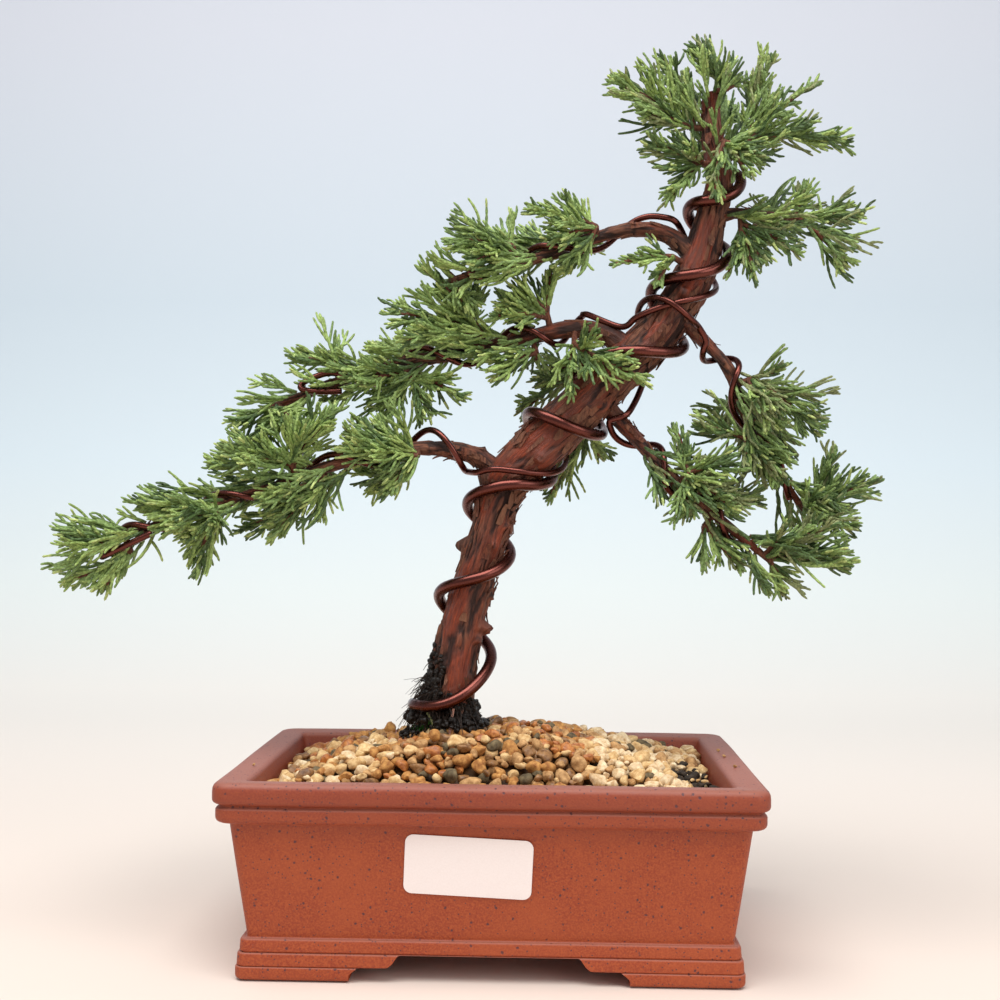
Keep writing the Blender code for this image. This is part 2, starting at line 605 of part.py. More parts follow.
def wire(name, path, radius, resolution, finish):
    """A wire: a curve with a round bevel and filled caps."""
    curve = bpy.data.curves.new(name, "CURVE")
    curve.dimensions = "3D"
    curve.bevel_depth = radius * MM
    curve.bevel_resolution = resolution
    curve.use_fill_caps = True
    curve.materials.append(finish)
    line = curve.splines.new("POLY")
    line.points.add(len(path) - 1)
    for point, place in zip(line.points, path):
        point.co = (*(place * MM), 1.0)
    made = bpy.data.objects.new(name, curve)
    bpy.context.scene.collection.objects.link(made)


def make_wires(limbs):
    """One thick wire up the trunk, and thin ones that each train one bough or a pair."""
    finish = material("brown_wire", COPPER_BROWN, 0.35, 1.0)
    knots = [("trunk", along, turn * 360 + quarter * 90 - 90, FLARE * 0.7 if turn == 0 else 0.0)
             for turn, passes in enumerate(TRUNK_TURNS) for quarter, along in enumerate(passes)]
    knots.append(("trunk", TRUNK_TURNS[-1][-1] + 7, len(TRUNK_TURNS) * 360 - 170, 0.0))
    paths = {"wire_trunk": (wire_path(limbs, knots, THICK), THICK)}
    for name, route in WIRES.items():
        paths[name] = (wire_path(limbs, route, THIN), THIN)
    for name, (path, radius) in paths.items():
        wire(name, path, radius, WIRE_ROUNDNESS, finish)
    return paths


class Space:
    """What is already there: round-ended segments, each with its owner."""

    def __init__(self):
        self.starts = np.zeros((0, 3))
        self.ends = np.zeros((0, 3))
        self.radii = np.zeros(0)
        self.owners = []
        self.axis_points = np.zeros((0, 3))
        self.axis_owners = []

    def add(self, points, radii, owner):
        points = np.array(points, float)
        self.starts = np.vstack([self.starts, points[:-1]])
        self.ends = np.vstack([self.ends, points[1:]])
        self.radii = np.concatenate([self.radii, np.maximum(radii[:-1], radii[1:])])
        self.owners += [owner] * (len(points) - 1)

    def room(self, start, end, radius, owner):
        """The least clearance between a new segment and everything that others own."""
        foreign = np.array([mine != owner for mine in self.owners])
        if not foreign.any():
            return 99.0
        low, high = self.starts[foreign], self.ends[foreign]
        span = high - low
        square = np.maximum((span ** 2).sum(1), 1e-9)
        least = 99.0
        for share in np.linspace(0.0, 1.0, 9):
            point = start + (end - start) * share
            t = np.clip(((point - low) * span).sum(1) / square, 0.0, 1.0)
            away = np.linalg.norm(low + span * t[:, None] - point, axis=1)
            least = min(least, float((away - self.radii[foreign]).min()) - radius)
        return least

    def own_side(self, point, owner):
        """Whether a point lies nearer to its own mass's fans than to any other mass's."""
        away = np.linalg.norm(self.axis_points - point, axis=1)
        return self.axis_owners[int(away.argmin())] == owner


def bezier(start, control, end, count):
    """Points along a quadratic curve drawn toward its control point."""
    shares = np.linspace(0.0, 1.0, count)[:, None]
    return (1 - shares) ** 2 * start + 2 * shares * (1 - shares) * control + shares ** 2 * end


def prism_rings(points, radii, sides, twist=0.0):
    """Rings of a thin limb with few sides that follows a line of points and turns round it."""
    points = np.array(points, float)
    rings = []
    first = unit(points[1] - points[0])
    side = np.cross(first, (0.0, 0.0, 1.0))
    if np.linalg.norm(side) < 0.2:
        side = np.cross(first, (1.0, 0.0, 0.0))
    for i, point in enumerate(points):
        ahead = points[min(i + 1, len(points) - 1)] - points[max(i - 1, 0)]
        tangent = unit(ahead)
        side = unit(side - side.dot(tangent) * tangent)
        other = np.cross(tangent, side)
        angles = [2 * math.pi * k / sides + i * twist for k in range(sides)]
        rings.append([point + radii[i] * (math.cos(a) * side + math.sin(a) * other)
                      for a in angles])
    return rings


def fuse(base, others):
    """Join the others into the base by one Boolean union, then keep the one sound shell."""
    group = bpy.data.collections.new("parts")
    bpy.context.scene.collection.children.link(group)
    for other in others:
        bpy.context.scene.collection.objects.unlink(other)
        group.objects.link(other)
        other.hide_render = True
        other.display_type = "WIRE"
    join = base.modifiers.new("join", "BOOLEAN")
    join.operation = "UNION"
    join.solver = "EXACT"
    join.operand_type = "COLLECTION"
    join.collection = group
    apply_modifiers(base)
    for other in others:
        bpy.data.objects.remove(other, do_unlink=True)
    bpy.data.collections.remove(group)
    keep_largest(base)


def plan_mass(name, limbs, space):
    """Lay out a mass's stem and the bent main twigs of its fans, clear of what is there."""
    limb_name, along, fans = MASSES[name]
    limb = limbs[limb_name]
    tips = np.array([fan[:3] for fan in fans], float)
    at_tip = along == TIP
    along = min(along, limb.length)
    centre = limb.centre(along)
    tangent, front, right = limb.frame(along)
    outward = tips.mean(axis=0) - centre
    if at_tip:
        outward = tangent
        root = centre + (GAP + 0.1) * outward
    else:
        outward = unit(outward - outward.dot(tangent) * tangent)
        seat = limb.radius(along)
        if limb_name == "trunk":
            seat *= bark_share(math.atan2(outward.dot(right), outward.dot(front)), along)
        root = centre + (seat + GAP + 0.1) * outward
    knuckle = root + STEM_LENGTH * outward
    space.add([root + 1.6 * outward, knuckle], [STEM_RADIUS, STEM_RADIUS], name)
    twigs = []
    for number, (tip, fan) in enumerate(zip(tips, fans)):
        fork = knuckle - number * FORK_STEP * outward
        chord = tip - fork
        chord *= max(TWIG_LEAST, 1.0 - SHOOT_AHEAD * fan[3] / np.linalg.norm(chord))
        across = unit(np.cross(chord, (0.0, 0.0, 1.0)))
        above = np.cross(unit(chord), across)
        best = None
        for bow in (0.10, 0.22, 0.36):
            for turn in range(8):
                angle = math.pi / 4 * turn + math.pi / 2
                aside = math.cos(angle) * across - math.sin(angle) * above
                control = fork + 0.45 * chord + bow * np.linalg.norm(chord) * aside
                line = bezier(fork, control, fork + chord, 5)
                least = min(space.room(a, b, TWIG_RADIUS, name) for a, b in zip(line, line[1:]))
                if best is None or least > best[0]:
                    best = (least, line)
            if best[0] > CLEAR:
                break
        twigs.append(best[1])
    return root, knuckle, twigs


def grow_fan(label, line, width, space, rng):
    """One fan: a three-sided twig, with a pointed shoot drawn out of each face along it."""
    points = resample(line, SHOOT_SPACING)
    count = len(points) - 1
    radii = np.linspace(TWIG_RADIUS, TWIG_RADIUS * TIP_SHARE, count + 1)
    rings = prism_rings(points, radii, 3, TWIG_TWIST)
    bm = bmesh.new()
    loops = [[bm.verts.new(tuple(point)) for point in ring] for ring in rings]
    bm.faces.new(loops[0][::-1])
    end = bm.verts.new(tuple(points[-1] + SHOOT_SPACING * unit(points[-1] - points[-2])))
    for k in range(3):
        bm.faces.new((loops[-1][k], loops[-1][(k + 1) % 3], end))
    for i in range(count):
        tangent = unit(points[i + 1] - points[i])
        middle = (points[i] + points[i + 1]) / 2
        for k in range(3):
            j = (k + 1) % 3
            face = (loops[i][k], loops[i][j], loops[i + 1][j], loops[i + 1][k])
            foot = np.mean([rings[i][k], rings[i][j], rings[i + 1][j], rings[i + 1][k]], axis=0)
            out = unit(foot - middle)
            angle = SHOOT_ANGLE * rng.uniform(0.85, 1.1)
            reach = width * (1.05 - 0.4 * i / count) / math.sin(SHOOT_ANGLE) * rng.uniform(0.8, 1.1)
            heading = math.cos(angle) * tangent + math.sin(angle) * out
            tips = [foot + share * reach * heading for share in SHOOT_TRIALS]
            tip = next((tip for tip in tips if i > 0 and shoot_fits(foot, tip, label, space)), None)
            if tip is None:
                bm.faces.new(face)
            else:
                apex = bm.verts.new(tuple(tip))
                for a, b in zip(face, face[1:] + face[:1]):
                    bm.faces.new((a, b, apex))
    return mesh_object("fan", bm)


def shoot_fits(foot, tip, label, space):
    """A shoot is skipped where it would leave its mass's space or touch anything else."""
    owner = label.split()[0]
    if not space.own_side(tip, owner) or not space.own_side((foot + tip) / 2, owner):
        return False
    start = foot + 0.2 * (tip - foot)
    if space.room(start, tip, SHOOT_RADIUS, label) < CLEAR:
        return False
    space.add([start, tip], [SHOOT_RADIUS] * 2, label)
    return True


def make_masses(limbs, paths):
    """Plan all the masses first, so that each knows its neighbours' fans, and then grow them."""
    space = Space()
    for name, limb in limbs.items():
        keep = slice(None, None, 3)
        extra = FLARE if name == "trunk" else 0.0
        space.add(limb.points[keep], limb.radii[keep] + extra * (limb.distance[keep] < 20), name)
    for name, (path, radius) in paths.items():
        space.add(path, [radius] * len(path), name)
    plans = {}
    for name in MASSES:
        root, knuckle, twigs = plan_mass(name, limbs, space)
        for number, line in enumerate(twigs):
            space.add(line, [TWIG_RADIUS] * len(line), f"{name} {number}")
            for a, b in zip(line, line[1:]):
                samples = np.array([a + (b - a) * t for t in (0.0, 0.5)])
                space.axis_points = np.vstack([space.axis_points, samples])
                space.axis_owners += [name] * len(samples)
        plans[name] = (root, knuckle, twigs)
    finish = material("foliage", JUNIPER_GREEN, 0.6)
    for seed, (name, (root, knuckle, twigs)) in enumerate(plans.items()):
        rng = random.Random(MASS_SEED + seed)
        bm = bmesh.new()
        axis = unit(knuckle - root)
        loft(bm, prism_rings([root, knuckle + axis * 0.8], [STEM_RADIUS, STEM_RADIUS], 5))
        made = mesh_object("foliage_" + name, bm, finish)
        fuse(made, [grow_fan(f"{name} {number}", line, MASSES[name][2][number][3], space, rng)
                    for number, line in enumerate(twigs)])


def centre_on_origin():
    """Move everything sideways so that the whole plant's box is centred over the origin."""
    bpy.context.view_layer.update()
    depsgraph = bpy.context.evaluated_depsgraph_get()
    corners = []
    for thing in bpy.context.scene.objects:
        shown = thing.evaluated_get(depsgraph)
        mesh = shown.to_mesh()
        corners += [thing.matrix_world @ vert.co for vert in mesh.vertices]
        shown.to_mesh_clear()
    box = np.array([tuple(corner) for corner in corners])
    middle = (box.min(axis=0) + box.max(axis=0)) / 2
    for thing in bpy.context.scene.objects:
        thing.location.x -= middle[0]
        thing.location.y -= middle[1]


def main():
    clear_scene()
    limbs = {name: Limb(waypoints) for name, waypoints in LIMBS.items()}
    foot = limbs["trunk"].centre(0.0)
    make_pot()
    make_soil(foot)
    make_peat(foot)
    make_label()
    make_limbs(limbs)
    paths = make_wires(limbs)
    make_masses(limbs, paths)
    centre_on_origin()


main()
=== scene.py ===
"""The looks of a juniper bonsai in a terracotta tray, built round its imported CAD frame.

Sizes are millimetres in the place where the source models them: the tray's centre is x = y = 0,
its feet stand on z = 0, +X is the viewer's right and -Y the front. show() turns a mesh into
metres and moves it to where the frame has its tray.
"""
import copy
import math
import random

import bmesh
import bpy
import numpy as np
from mathutils import Matrix, Vector
from numpy.linalg import norm


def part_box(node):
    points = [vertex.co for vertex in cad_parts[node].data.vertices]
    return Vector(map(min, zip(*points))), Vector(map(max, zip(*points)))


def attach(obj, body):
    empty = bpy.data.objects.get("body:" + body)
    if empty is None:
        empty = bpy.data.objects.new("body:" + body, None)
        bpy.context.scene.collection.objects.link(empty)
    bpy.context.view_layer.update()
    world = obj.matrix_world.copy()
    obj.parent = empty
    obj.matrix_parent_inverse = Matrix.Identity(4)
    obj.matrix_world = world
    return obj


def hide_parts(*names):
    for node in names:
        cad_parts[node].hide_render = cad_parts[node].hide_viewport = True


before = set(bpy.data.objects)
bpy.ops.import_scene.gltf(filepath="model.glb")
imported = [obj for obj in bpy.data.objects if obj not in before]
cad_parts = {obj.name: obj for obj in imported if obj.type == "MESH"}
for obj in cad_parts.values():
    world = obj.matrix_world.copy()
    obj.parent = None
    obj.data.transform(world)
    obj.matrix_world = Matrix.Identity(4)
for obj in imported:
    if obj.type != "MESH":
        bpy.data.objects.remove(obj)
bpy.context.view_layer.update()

# Camera: a normal lens about half a metre in front of the tray, near the height of the crown's
# middle, that looks slightly left and up.
MM = 0.001
TRAY_LOW, TRAY_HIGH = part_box("pot")
ORIGIN = np.array([(TRAY_LOW.x + TRAY_HIGH.x) / 2, (TRAY_LOW.y + TRAY_HIGH.y) / 2, 0.0])
CAMERA_PLACE = np.array([16.86, -545.92, 162.85])
CAMERA_YAW = -0.02934
CAMERA_PITCH = 0.0221
CAMERA_ROLL = 0.00853
LENS_LENGTH = 48.46
SENSOR_WIDTH = 36.0



def put_in_scene(name, data):
    """A new object in the scene that holds a mesh, a lamp or a lens."""
    made = bpy.data.objects.new(name, data)
    bpy.context.scene.collection.objects.link(made)
    return made


bpy.context.scene.view_settings.view_transform = "Standard"
lens = bpy.data.cameras.new("lens")
lens.lens = LENS_LENGTH
lens.sensor_width = SENSOR_WIDTH
camera = put_in_scene("camera", lens)
bpy.context.scene.camera = camera
ahead = Vector((math.sin(CAMERA_YAW) * math.cos(CAMERA_PITCH),
    math.cos(CAMERA_YAW) * math.cos(CAMERA_PITCH), math.sin(CAMERA_PITCH)))
level = Vector((math.cos(CAMERA_YAW), -math.sin(CAMERA_YAW), 0.0))
upright = level.cross(ahead)
camera_right = math.cos(CAMERA_ROLL) * level + math.sin(CAMERA_ROLL) * upright
camera_up = math.cos(CAMERA_ROLL) * upright - math.sin(CAMERA_ROLL) * level
turn = Matrix((camera_right, camera_up, -ahead)).transposed().to_4x4()
camera.matrix_world = Matrix.Translation(Vector(CAMERA_PLACE * MM + ORIGIN)) @ turn

# Tray: red earthenware, pressed in a mould and fired unglazed. A rolled rim and a half-round
# bead run round the top, three stepped bands round the base, and the lower two are cut away
# between the feet.
TRAY_LONGER = 31.0
CORNER = 6.0
CORNER_STEPS = 9
RIM = 100.0
RIM_TOP = 72.0
BODY_TOP = (94.4, 56.8)
BODY_FOOT = (88.2, 14.2)
FLOOR = (80.0, 18.0)
UNDERSIDE = (79.0, 11.0)
# Profile from the floor inside to the underside: half-width in x, height, rounding.
TRAY_PROFILE = [
    (*FLOOR, 0.0), (87.0, 65.0, 5.0), (88.5, 71.0, 2.6), (RIM, RIM_TOP, 3.4), (RIM, 64.4, 2.8),
    (97.4, 63.4, 0.9), (98.9, 62.2, 1.2), (98.9, 57.4, 2.4), (*BODY_TOP, 0.9), (*BODY_FOOT, 0.7),
    (90.4, 14.6, 1.5), (90.7, 10.0, 1.6), (90.1, 9.6, 0.3), (91.3, 9.5, 1.3), (91.6, 5.1, 1.5),
    (91.0, 4.8, 0.3), (92.0, 4.7, 1.3), (92.0, 0.0, 1.6), (79.0, 0.0, 1.0), (*UNDERSIDE, 0.0)]
# Outline of the openings between the feet, from the middle of the tray: distance, height, round.
FOOT_GAP_LONG = [(50.5, -1.0, 0.0), (50.5, 2.4, 1.6), (47.4, 4.9, 1.6), (36.5, 5.1, 1.6),
                 (34.6, 6.6, 1.2), (32.6, 9.5, 1.6)]
FOOT_GAP_SHORT = [(24.0, -1.0, 0.0), (24.0, 2.4, 1.6), (21.2, 4.9, 1.6), (14.5, 5.1, 1.6),
                  (12.8, 6.6, 1.2), (10.8, 9.5, 1.6)]
# A rounding takes at most this share of the shorter side beside its corner.
ROUND_SHARE = 0.48
# The hand-finished walls wobble above their foot; cuts across the tray give them the points.
WOBBLE = 0.28
WOBBLE_LENGTH = 34.0
WOBBLE_FOOT = 12.0
CUT_STEP = 8.0


def rounded(outline, steps=5):
    """An outline of (u, v, rounding) with an arc of points in place of each rounded corner."""
    corners = np.array(outline, float)
    points = []
    for i, (u, v, radius) in enumerate(corners):
        here = corners[i, :2]
        if radius == 0.0:
            points.append(here)
            continue
        before = corners[i - 1, :2] - here
        after = corners[(i + 1) % len(corners), :2] - here
        lengths = norm(before), norm(after)
        before, after = before / lengths[0], after / lengths[1]
        half = math.acos(np.clip(before.dot(after), -1.0, 1.0)) / 2
        reach = min(radius / math.tan(half), ROUND_SHARE * min(lengths))
        for t in np.linspace(0.0, 1.0, steps + 1):
            points.append(here + reach * ((1 - t) ** 2 * before + t ** 2 * after))
    return np.array(points)


def rounded_rectangle(half_wide, half_deep, corner, steps):
    """A rounded rectangle round the origin, as points in order."""
    points = []
    for quarter, (sx, sy) in enumerate(((1, 1), (-1, 1), (-1, -1), (1, -1))):
        for step in range(steps + 1):
            angle = math.radians(90 * quarter + 90 * step / steps)
            points.append((sx * (half_wide - corner) + corner * math.cos(angle), sy * (half_deep - corner)
                + corner * math.sin(angle)))
    return np.array(points)


def loft(rings):
    """Points and faces of the closed shell through rings that have the same count of points."""
    rings = np.asarray(rings, float)
    count, sides = rings.shape[:2]
    grid = np.arange(count * sides).reshape(count, sides)
    turned = np.roll(grid, -1, axis=1)
    quads = np.stack([grid[:-1], turned[:-1], turned[1:], grid[1:]], axis=-1).reshape(-1, 4)
    return rings.reshape(-1, 3), quads.tolist() + [grid[0][::-1].tolist(), grid[-1].tolist()]


def lattice_noise(points, seed=0):
    """Smooth noise from -1 to 1 at each row of points, with cells one unit wide."""
    points = np.asarray(points, float)
    cell = np.floor(points).astype(np.int64)
    share = points - cell
    share = share * share * (3 - 2 * share)
    total = np.zeros(len(points))
    for corner in range(8):
        step = np.array([corner & 1, corner >> 1 & 1, corner >> 2 & 1])
        key = (cell + step) @ np.array([73856093, 19349663, 83492791]) + 7919 * seed
        key = (key ^ key >> 13) * 1274126177 & 0x7FFFFFFF
        value = (key ^ key >> 15) % 65536 / 32768 - 1
        total += np.prod(np.where(step == 1, share, 1 - share), axis=1) * value
    return total


def climb(value, low, high):
    """A value as a share of the way from low to high, kept between 0 and 1."""
    return np.clip((value - low) / (high - low), 0.0, 1.0)


def linear(hex_colour):
    """An sRGB hex colour as linear red, green, blue and alpha."""
    channels = [int(hex_colour[i:i + 2], 16) / 255 for i in (1, 3, 5)]
    return (*[c / 12.92 if c <= 0.04045 else ((c + 0.055) / 1.055) ** 2.4 for c in channels], 1.0)


def add(tree, kind, sockets=None, **settings):
    """Add a node. A socket takes a value, a hex colour, a node's first output, or a named one."""
    node = tree.nodes.new("ShaderNode" + kind)
    if kind == "Mix":
        node.data_type = "RGBA"
    for name, value in settings.items():
        setattr(node, name, value)
    for name, value in (sockets or {}).items():
        if isinstance(value, bpy.types.Node):
            source = next(output for output in value.outputs if output.enabled)
            tree.links.new(source, node.inputs[name])
        elif isinstance(value, tuple) and isinstance(value[0], bpy.types.Node):
            tree.links.new(value[0].outputs[value[1]], node.inputs[name])
        else:
            node.inputs[name].default_value = linear(value) if isinstance(value, str) else value
    return node


def new_material(name):
    """An empty node material and its tree."""
    made = bpy.data.materials.new(name)
    made.use_nodes = True
    made.node_tree.nodes.clear()
    return made, made.node_tree


# The Mix node's sockets for its factor and its two colours.
FACTOR, FIRST, SECOND = 0, 6, 7


def show(name, points, faces, finish, replaced, sharp=35.0):
    """Make a piece of the bonsai: a mesh in millimetres, placed where the frame's tray is."""
    mesh = bpy.data.meshes.new(name)
    mesh.from_pydata(np.asarray(points) * MM + ORIGIN, [], faces)
    mesh.materials.append(finish)
    if sharp:
        mesh.shade_smooth()
        mesh.set_sharp_from_angle(angle=math.radians(sharp))
    made = put_in_scene(name, mesh)
    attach(made, "root")
    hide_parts(*replaced)
    return made


def tray_mesh():
    """The tray's profile lofted round it, with the openings cut and the clay slightly uneven."""
    bm = bmesh.new()
    whole = bpy.data.meshes.new("tray")
    profile = rounded(TRAY_PROFILE)
    points, faces = loft([[(x, y, z) for x, y in rounded_rectangle(half, half - TRAY_LONGER,
        max(2.0, CORNER + (half - RIM) * 0.3), CORNER_STEPS)] for half, z in profile])
    whole.from_pydata(points, [], [face[::-1] for face in faces])
    body = put_in_scene("tray", whole)
    for outline, along_x in ((FOOT_GAP_LONG, False), (FOOT_GAP_SHORT, True)):
        outline = rounded(outline + [(-u, v, radius) for u, v, radius in outline[::-1]])
        reach = RIM + 10.0
        rings = [[(end, u, v) if along_x else (u, end, v) for u, v in outline] for end in (-reach, reach)]
        points, faces = loft(rings)
        cut = bpy.data.meshes.new("gap")
        cut.from_pydata(points, [], faces)
        shaped = bmesh.new()
        shaped.from_mesh(cut)
        bmesh.ops.recalc_face_normals(shaped, faces=shaped.faces)
        shaped.to_mesh(cut)
        shaped.free()
        gap = body.modifiers.new("gap", "BOOLEAN")
        gap.object = put_in_scene("gap", cut)
        gap.solver = "EXACT"
        bm.from_mesh(bpy.data.meshes.new_from_object(
            body.evaluated_get(bpy.context.evaluated_depsgraph_get())))
        bpy.data.objects.remove(gap.object)
        body.modifiers.clear()
        bm.to_mesh(whole)
        bm.clear()
    bm.from_mesh(whole)
    bpy.data.objects.remove(body)
    for axis, reach in ((0, RIM), (1, RIM - TRAY_LONGER)):
        for place in np.arange(-reach + CORNER + 2, reach - CORNER, CUT_STEP):
            across = np.eye(3)[axis]
            bmesh.ops.bisect_plane(bm, geom=bm.verts[:] + bm.edges[:] + bm.faces[:],
                plane_co=place * across, plane_no=across, dist=0.01)
    bmesh.ops.recalc_face_normals(bm, faces=bm.faces)
    points = np.array([vert.co for vert in bm.verts])
    for axis in (0, 1):
        swell = WOBBLE * lattice_noise(points / WOBBLE_LENGTH, seed=axis)
        points[:, axis] += swell * climb(points[:, 2], 0.0, WOBBLE_FOOT)
    points[:, 2] += 0.5 * WOBBLE * lattice_noise(points / WOBBLE_LENGTH, 5) * (points[:, 2] > 60)
    faces = [[vert.index for vert in face.verts] for face in bm.faces]
    bm.free()
    return points, faces


def fired_clay():
    """Unglazed red earthenware: matt, with iron specks and grit, and paler and greyer on upward faces:
    dust, and painted light from above.
    """
    made, tree = new_material("unglazed_earthenware")
    place = (add(tree, "TexCoord"), "Object")
    tint = add(tree, "TexNoise", {"Vector": place, "Scale": 1 / 0.030, "Detail": 4.0, "Roughness": 0.6})
    grain = add(tree, "TexNoise", {"Vector": place, "Scale": 1 / 0.0007, "Detail": 3.0})
    broad = add(tree, "MapRange", {"Value": tint, "From Min": 0.35, "From Max": 0.65})
    fine = add(tree, "MapRange", {"Value": grain, "From Min": 0.38, "From Max": 0.66})
    body = add(tree, "Mix", {FACTOR: broad, FIRST: "#8a3011", SECOND: "#9c421b"})
    mottled = add(tree, "Mix", {FACTOR: fine, FIRST: body, SECOND: "#a84d22"})
    split = add(tree, "SeparateXYZ", {"Vector": place})
    high = add(tree, "MapRange", {"Value": (split, "Z"), "From Min": 0.050, "From Max": 0.066,
        "To Max": 0.6})
    rimmed = add(tree, "Mix", {FACTOR: high, FIRST: mottled, SECOND: "#7c3422"})
    # Upward faces turn paler and greyer: partly dust, partly painted light from above.
    facing = add(tree, "NewGeometry")
    slope = add(tree, "SeparateXYZ", {"Vector": (facing, "Normal")})
    topside = add(tree, "MapRange", {"Value": (slope, "Z"), "From Min": 0.25, "From Max": 0.95,
        "To Max": 0.75})
    dust_and_top_light = add(tree, "Mix", {FACTOR: topside, FIRST: rimmed, SECOND: "#9a6252"})
    specks = []
    # Iron specks: the mean distance between them, their radius and their share of cells.
    for apart, radius, share in ((0.0030, 0.00042, 0.45), (0.0013, 0.00024, 0.35)):
        warp = add(tree, "TexNoise", {"Vector": place, "Scale": 1.5 / apart})
        bent = add(tree, "VectorMath", {0: (warp, "Color"), 1: (0.35 * apart,) * 3}, operation="MULTIPLY")
        moved = add(tree, "VectorMath", {0: place, 1: bent})
        cells = add(tree, "TexVoronoi", {"Vector": moved, "Scale": 1 / apart})
        dot = add(tree, "MapRange", {"Value": cells, "From Min": 0.8 * radius / apart,
            "From Max": 1.5 * radius / apart, "To Min": 1.0, "To Max": 0.0})
        chosen = add(tree, "SeparateColor", {"Color": (cells, "Color")})
        kept = add(tree, "Math", {0: (chosen, "Red"), 1: share}, operation="LESS_THAN")
        speck = add(tree, "Math", {0: dot, 1: kept}, operation="MULTIPLY")
        fade = add(tree, "Math", {0: speck, 1: 0.8}, operation="MULTIPLY")
        dust_and_top_light = add(tree, "Mix", {FACTOR: fade, FIRST: dust_and_top_light, SECOND: "#3b2530"})
        specks.append(speck)
    pits = add(tree, "Math", {0: grain, 1: specks[0]}, operation="SUBTRACT")
    relief = add(tree, "Bump", {"Height": pits, "Strength": 0.35, "Distance": 0.0003})
    dull = add(tree, "MapRange", {"Value": grain, "To Min": 0.46, "To Max": 0.66})
    shader = add(tree, "BsdfPrincipled", {"Base Color": dust_and_top_light, "Roughness": dull, "IOR": 1.5,
        "Normal": relief})
    add(tree, "OutputMaterial", {"Surface": shader})
    return made


tray_points, tray_faces = tray_mesh()
show("clay_tray", tray_points, tray_faces, fired_clay(), ["pot"])

# Label: a blank self-adhesive paper sticker with rounded corners, pressed by hand on the tray's
# sloping front, so it hangs a little out of level and its edges don't lie quite flat.
LABEL_SIZE = (46.0, 22.0)
LABEL_CORNER = 3.0
LABEL_PLACE = (-7.6, 42.0)
LABEL_TURN = math.radians(2.5)
LABEL_THICK = 0.14
LABEL_OFF = 0.35


def label_outline(share):
    """The sticker's outline, or a share of it round the middle."""
    return rounded_rectangle(LABEL_SIZE[0] / 2 * share + 0.01, LABEL_SIZE[1] / 2 * share + 0.01,
        LABEL_CORNER * share + 0.005, 6)


def sticker_mesh():
    """A thin sheet of rings from its middle to its rounded edge, and back behind."""
    rings = []
    for share in (0.0, 0.25, 0.5, 0.75, 0.96, 1.0):
        outline = label_outline(share)
        ease = 0.10 * lattice_noise(np.column_stack([outline / 9.0, outline[:, 0] * 0]), 3)
        lift = LABEL_THICK + ease * share ** 3 + (0.03 if share < 1.0 else 0.0)
        rings.append(np.column_stack([outline, lift]))
    for share, depth in ((1.0, 0.06), (0.95, -0.25), (0.0, -0.25)):
        rings.append(np.pad(label_outline(share), ((0, 0), (0, 1)), constant_values=depth))
    return loft(rings)


def mottled(name, dark, light, grain, detail, strength, depth, roughness, index):
    """A surface mottled from dark to light, with the same grain, in metres, in its relief."""
    made, tree = new_material(name)
    place = (add(tree, "TexCoord"), "Object")
    noise = add(tree, "TexNoise", {"Vector": place, "Scale": 1 / grain, "Detail": detail})
    tone = add(tree, "Mix", {FACTOR: noise, FIRST: dark, SECOND: light})
    relief = add(tree, "Bump", {"Height": noise, "Strength": strength, "Distance": depth})
    shader = add(tree, "BsdfPrincipled", {"Base Color": tone, "Roughness": roughness, "IOR": index,
        "Normal": relief})
    add(tree, "OutputMaterial", {"Surface": shader})
    return made


def paper():
    """Coated label paper: nearly white, faintly warm, matt, with fibres a few tenths long."""
    return mottled("label_paper", "#efe4df", "#f8efeb", 0.0006, 2.0, 0.15, 0.0001, 0.45, 1.5)


slope = (BODY_TOP[0] - BODY_FOOT[0]) / (BODY_TOP[1] - BODY_FOOT[1])
front = BODY_FOOT[0] + slope * (LABEL_PLACE[1] - BODY_FOOT[1]) - TRAY_LONGER
sheet_points, sheet_faces = sticker_mesh()
lean = Matrix.Rotation(LABEL_TURN, 4, "Y") @ Matrix.Rotation(math.pi / 2 + math.atan(slope), 4, "X")
lean = Matrix.Translation((LABEL_PLACE[0], -front - LABEL_OFF, LABEL_PLACE[1])) @ lean
sheet_points = np.array([lean @ Vector(point) for point in sheet_points])
show("blank_sticker", sheet_points, [face[::-1] for face in sheet_faces], paper(), ["label"])

# Soil: loose pumice and baked clay grit, 4 to 7 mm, heaped up to the trunk. It is dry and pale
# at the right and the front left, and still wet and darker round the trunk.
EDGE_HEIGHT = 62.0
CREST_HEIGHT = 84.0
SEAT = 21.5
FOOT_X = -20.0
WALL_HALF = 85.9
BED_DROP = 7.0
# How roundly the heap rises, and how much higher it lies along the walls and in the back right
# corner, and lower where water has worn it at the left.
HEAP_BULGE = 1.3
WALL_RISE = 4.0
BACK_RISE = 1.5
LEFT_WEAR = 6.0
WALL_MARGIN = 1.5
BARE_FOOT = 12.5
# Shares of slate grains anywhere, and of mould where it has gathered at the right wall.
SLATE_SHARE = 0.045
MOULD_SHARE = 0.8
LUMP_STEP = 11.3
LUMP_HEIGHT = 3.0
LUMP_SEED = 3
GRAIN_SEED = 11
STONE_PLANES = 12
STONE_SHARPNESS = 7
# Layers of grains from the top: height over the mound, share of their radii that keeps them
# apart, fineness, and the tries at each size.
GRAINS = ((-0.9, 0.76, 3, ((900, 2.9, 3.9), (2600, 2.2, 2.9), (6000, 1.3, 2.1))),
          (-2.9, 0.66, 2, ((4200, 2.2, 3.2),)))
lump_rng = random.Random(LUMP_SEED)
lump_count = 2 * math.ceil(RIM / LUMP_STEP) + 1
LUMPS = np.array([[lump_rng.uniform(0.6, 1.0) * LUMP_HEIGHT * (-1) ** (i + j)
                   for j in range(lump_count)] for i in range(lump_count)])


